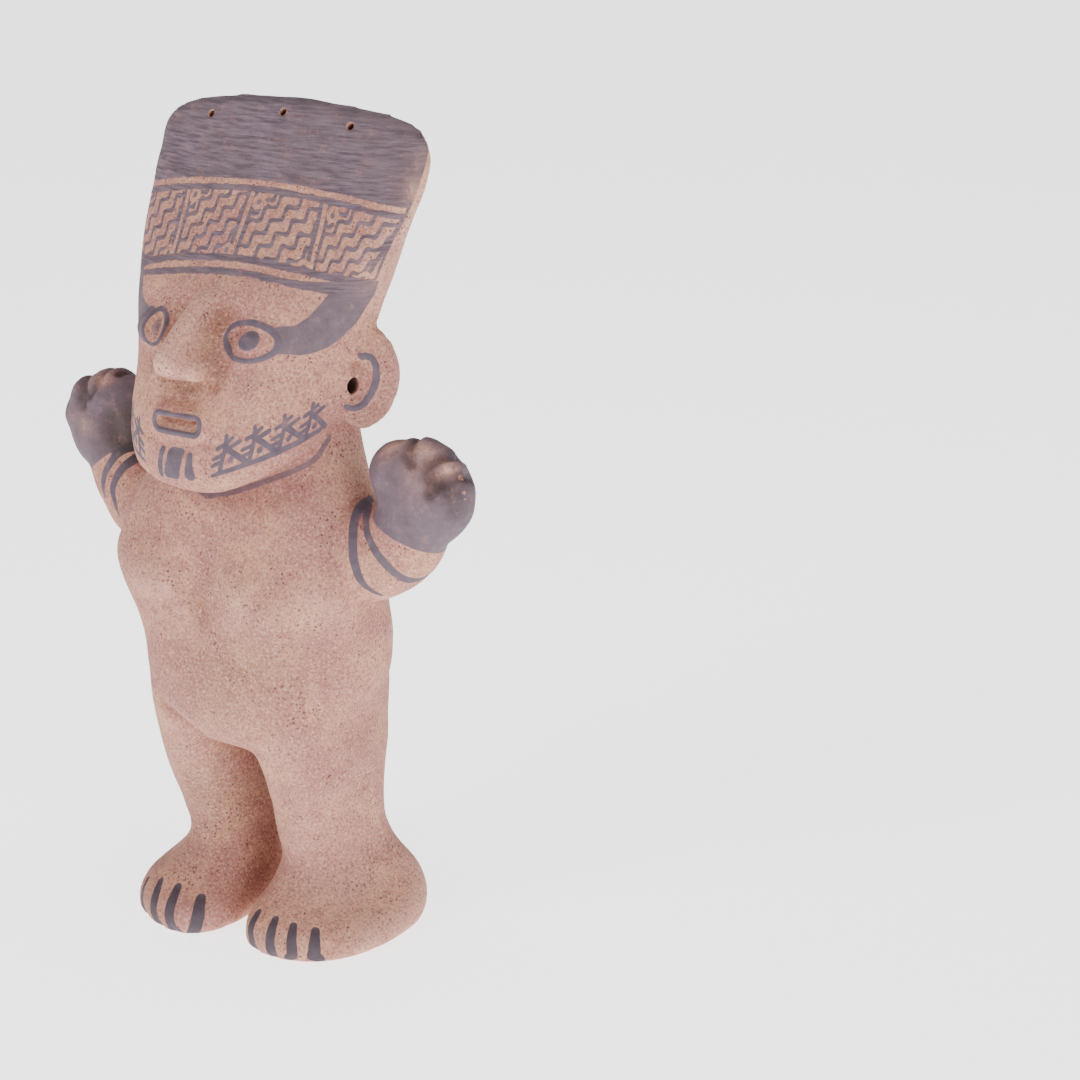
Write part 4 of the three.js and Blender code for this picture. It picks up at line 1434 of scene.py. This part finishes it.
# Only the headdress was brushed in long level strokes
on_headdress = add_node("MapRange", {0: band_v, 1: 322, 2: 328})
calm_tone = add_node("MapRange", {0: mottle, 1: 0.2, 2: 0.9})
brushed = add_node("MapRange", {0: streaks, 1: 0.38, 2: 0.62})
tone = add_node("Mix", {0: on_headdress, 2: calm_tone, 3: brushed})
slip_layers = [(tone, "#746470")]
tone = add_node("MapRange", {0: blotches, 1: 0.3, 2: 0.7, 4: 0.5})
slip_layers.append((tone, "#5a4b53"))
# Painted shade darkens the slip at the listed spots and in the finger grooves, and thick slip is darker
# as well
slip_darkening = add_node("Math", [on_point["slip_darkening"], 0.75], operation="MULTIPLY", use_clamp=True)
thick = add_node("Math", [on_point["strength"], 1], operation="SUBTRACT", use_clamp=True)
slip_darkening = add_node("Math", [slip_darkening, thick], operation="MAXIMUM")
slip_layers.append((slip_darkening, "#332a2c"))
slip_colour = to_linear("#453b48")
for amount, over in slip_layers:
    slip_colour = add_node("Mix", {0: amount, 6: slip_colour, 7: to_linear(over)},
                           output=MIX_COLOUR, data_type="RGBA")
colour = add_node("Mix", {0: cover, 6: clay_colour, 7: slip_colour}, output=MIX_COLOUR,
                  data_type="RGBA")
# Deep inside the holes the colour turns to a painted shade
hole_shade = add_node("MapRange", {0: on_point["depth"], 1: 0.8, 2: 3, 4: 0.9})
colour = add_node("Mix", {0: hole_shade, 6: colour, 7: to_linear("#4a3226")}, output=MIX_COLOUR,
                  data_type="RGBA")

# %% Surface: heights in millimetres, roughness, and the shader itself
height = add_node("Math", [grain, 0.10], operation="MULTIPLY")
height = add_node("Math", [mottle, 0.22, height], operation="MULTIPLY_ADD")
strokes = add_node("Math", [streaks, cover], operation="MULTIPLY")
strokes = add_node("Math", [strokes, on_headdress], operation="MULTIPLY")
height = add_node("Math", [strokes, 0.45, height], operation="MULTIPLY_ADD")
height = add_node("Math", [cover, 0.05, height], operation="MULTIPLY_ADD")
normal = add_node("Bump", {"Height": height, "Distance": 0.001, "Strength": 1})
roughness = add_node("MapRange", {0: cover, 3: 0.9, 4: 0.72})
surface = add_node("BsdfPrincipled", {"Base Color": colour, "Roughness": roughness,
                                      "Normal": normal, "IOR": 1.4})
earthenware.node_tree.links.new(
    surface, earthenware.node_tree.nodes.new("ShaderNodeOutputMaterial").inputs["Surface"])
figure.data.materials.append(earthenware)
print("shader nodes:", len(earthenware.node_tree.nodes))

# %% [markdown]
# ## The studio
# A pale floor that glows a little, as a light table does, and three large soft lights.

# %% Floor and lights
floor_mesh = bpy.data.meshes.new("floor")
bm = bmesh.new()
bmesh.ops.create_grid(bm, x_segments=1, y_segments=1, size=12)
bm.to_mesh(floor_mesh)
bm.free()
floor = place_object("floor", floor_mesh)

paper = bpy.data.materials.new("white_paper")
paper.use_nodes = True
paper_inputs = paper.node_tree.nodes["Principled BSDF"].inputs
paper_inputs["Base Color"].default_value = to_linear("#f2f1f0")
paper_inputs["Roughness"].default_value = 0.95
paper_inputs["Emission Color"].default_value = to_linear("#ffffff")
paper_inputs["Emission Strength"].default_value = 2.2
floor_mesh.materials.append(paper)


def add_light(name, place, target, size, watts):
    data = bpy.data.lights.new(name, "AREA")
    data.size = size
    data.energy = watts
    light = place_object(name, data)
    light.location = place
    light.rotation_euler = (Vector(target) - Vector(place)).to_track_quat("-Z", "Y").to_euler()


chest = (0, 0, 0.22)
add_light("left softbox", (-0.7, -1.5, 1.3), chest, 0.7, 21)
add_light("right softbox", (1.7, -0.7, 0.45), chest, 0.9, 17)
add_light("top softbox", (0.1, 0.2, 1.9), chest, 0.9, 12)

world = bpy.data.worlds.new("studio")
world.use_nodes = True
world.node_tree.nodes["Background"].inputs["Color"].default_value = to_linear("#f4f4f4")
world.node_tree.nodes["Background"].inputs["Strength"].default_value = 0.35
bpy.context.scene.world = world
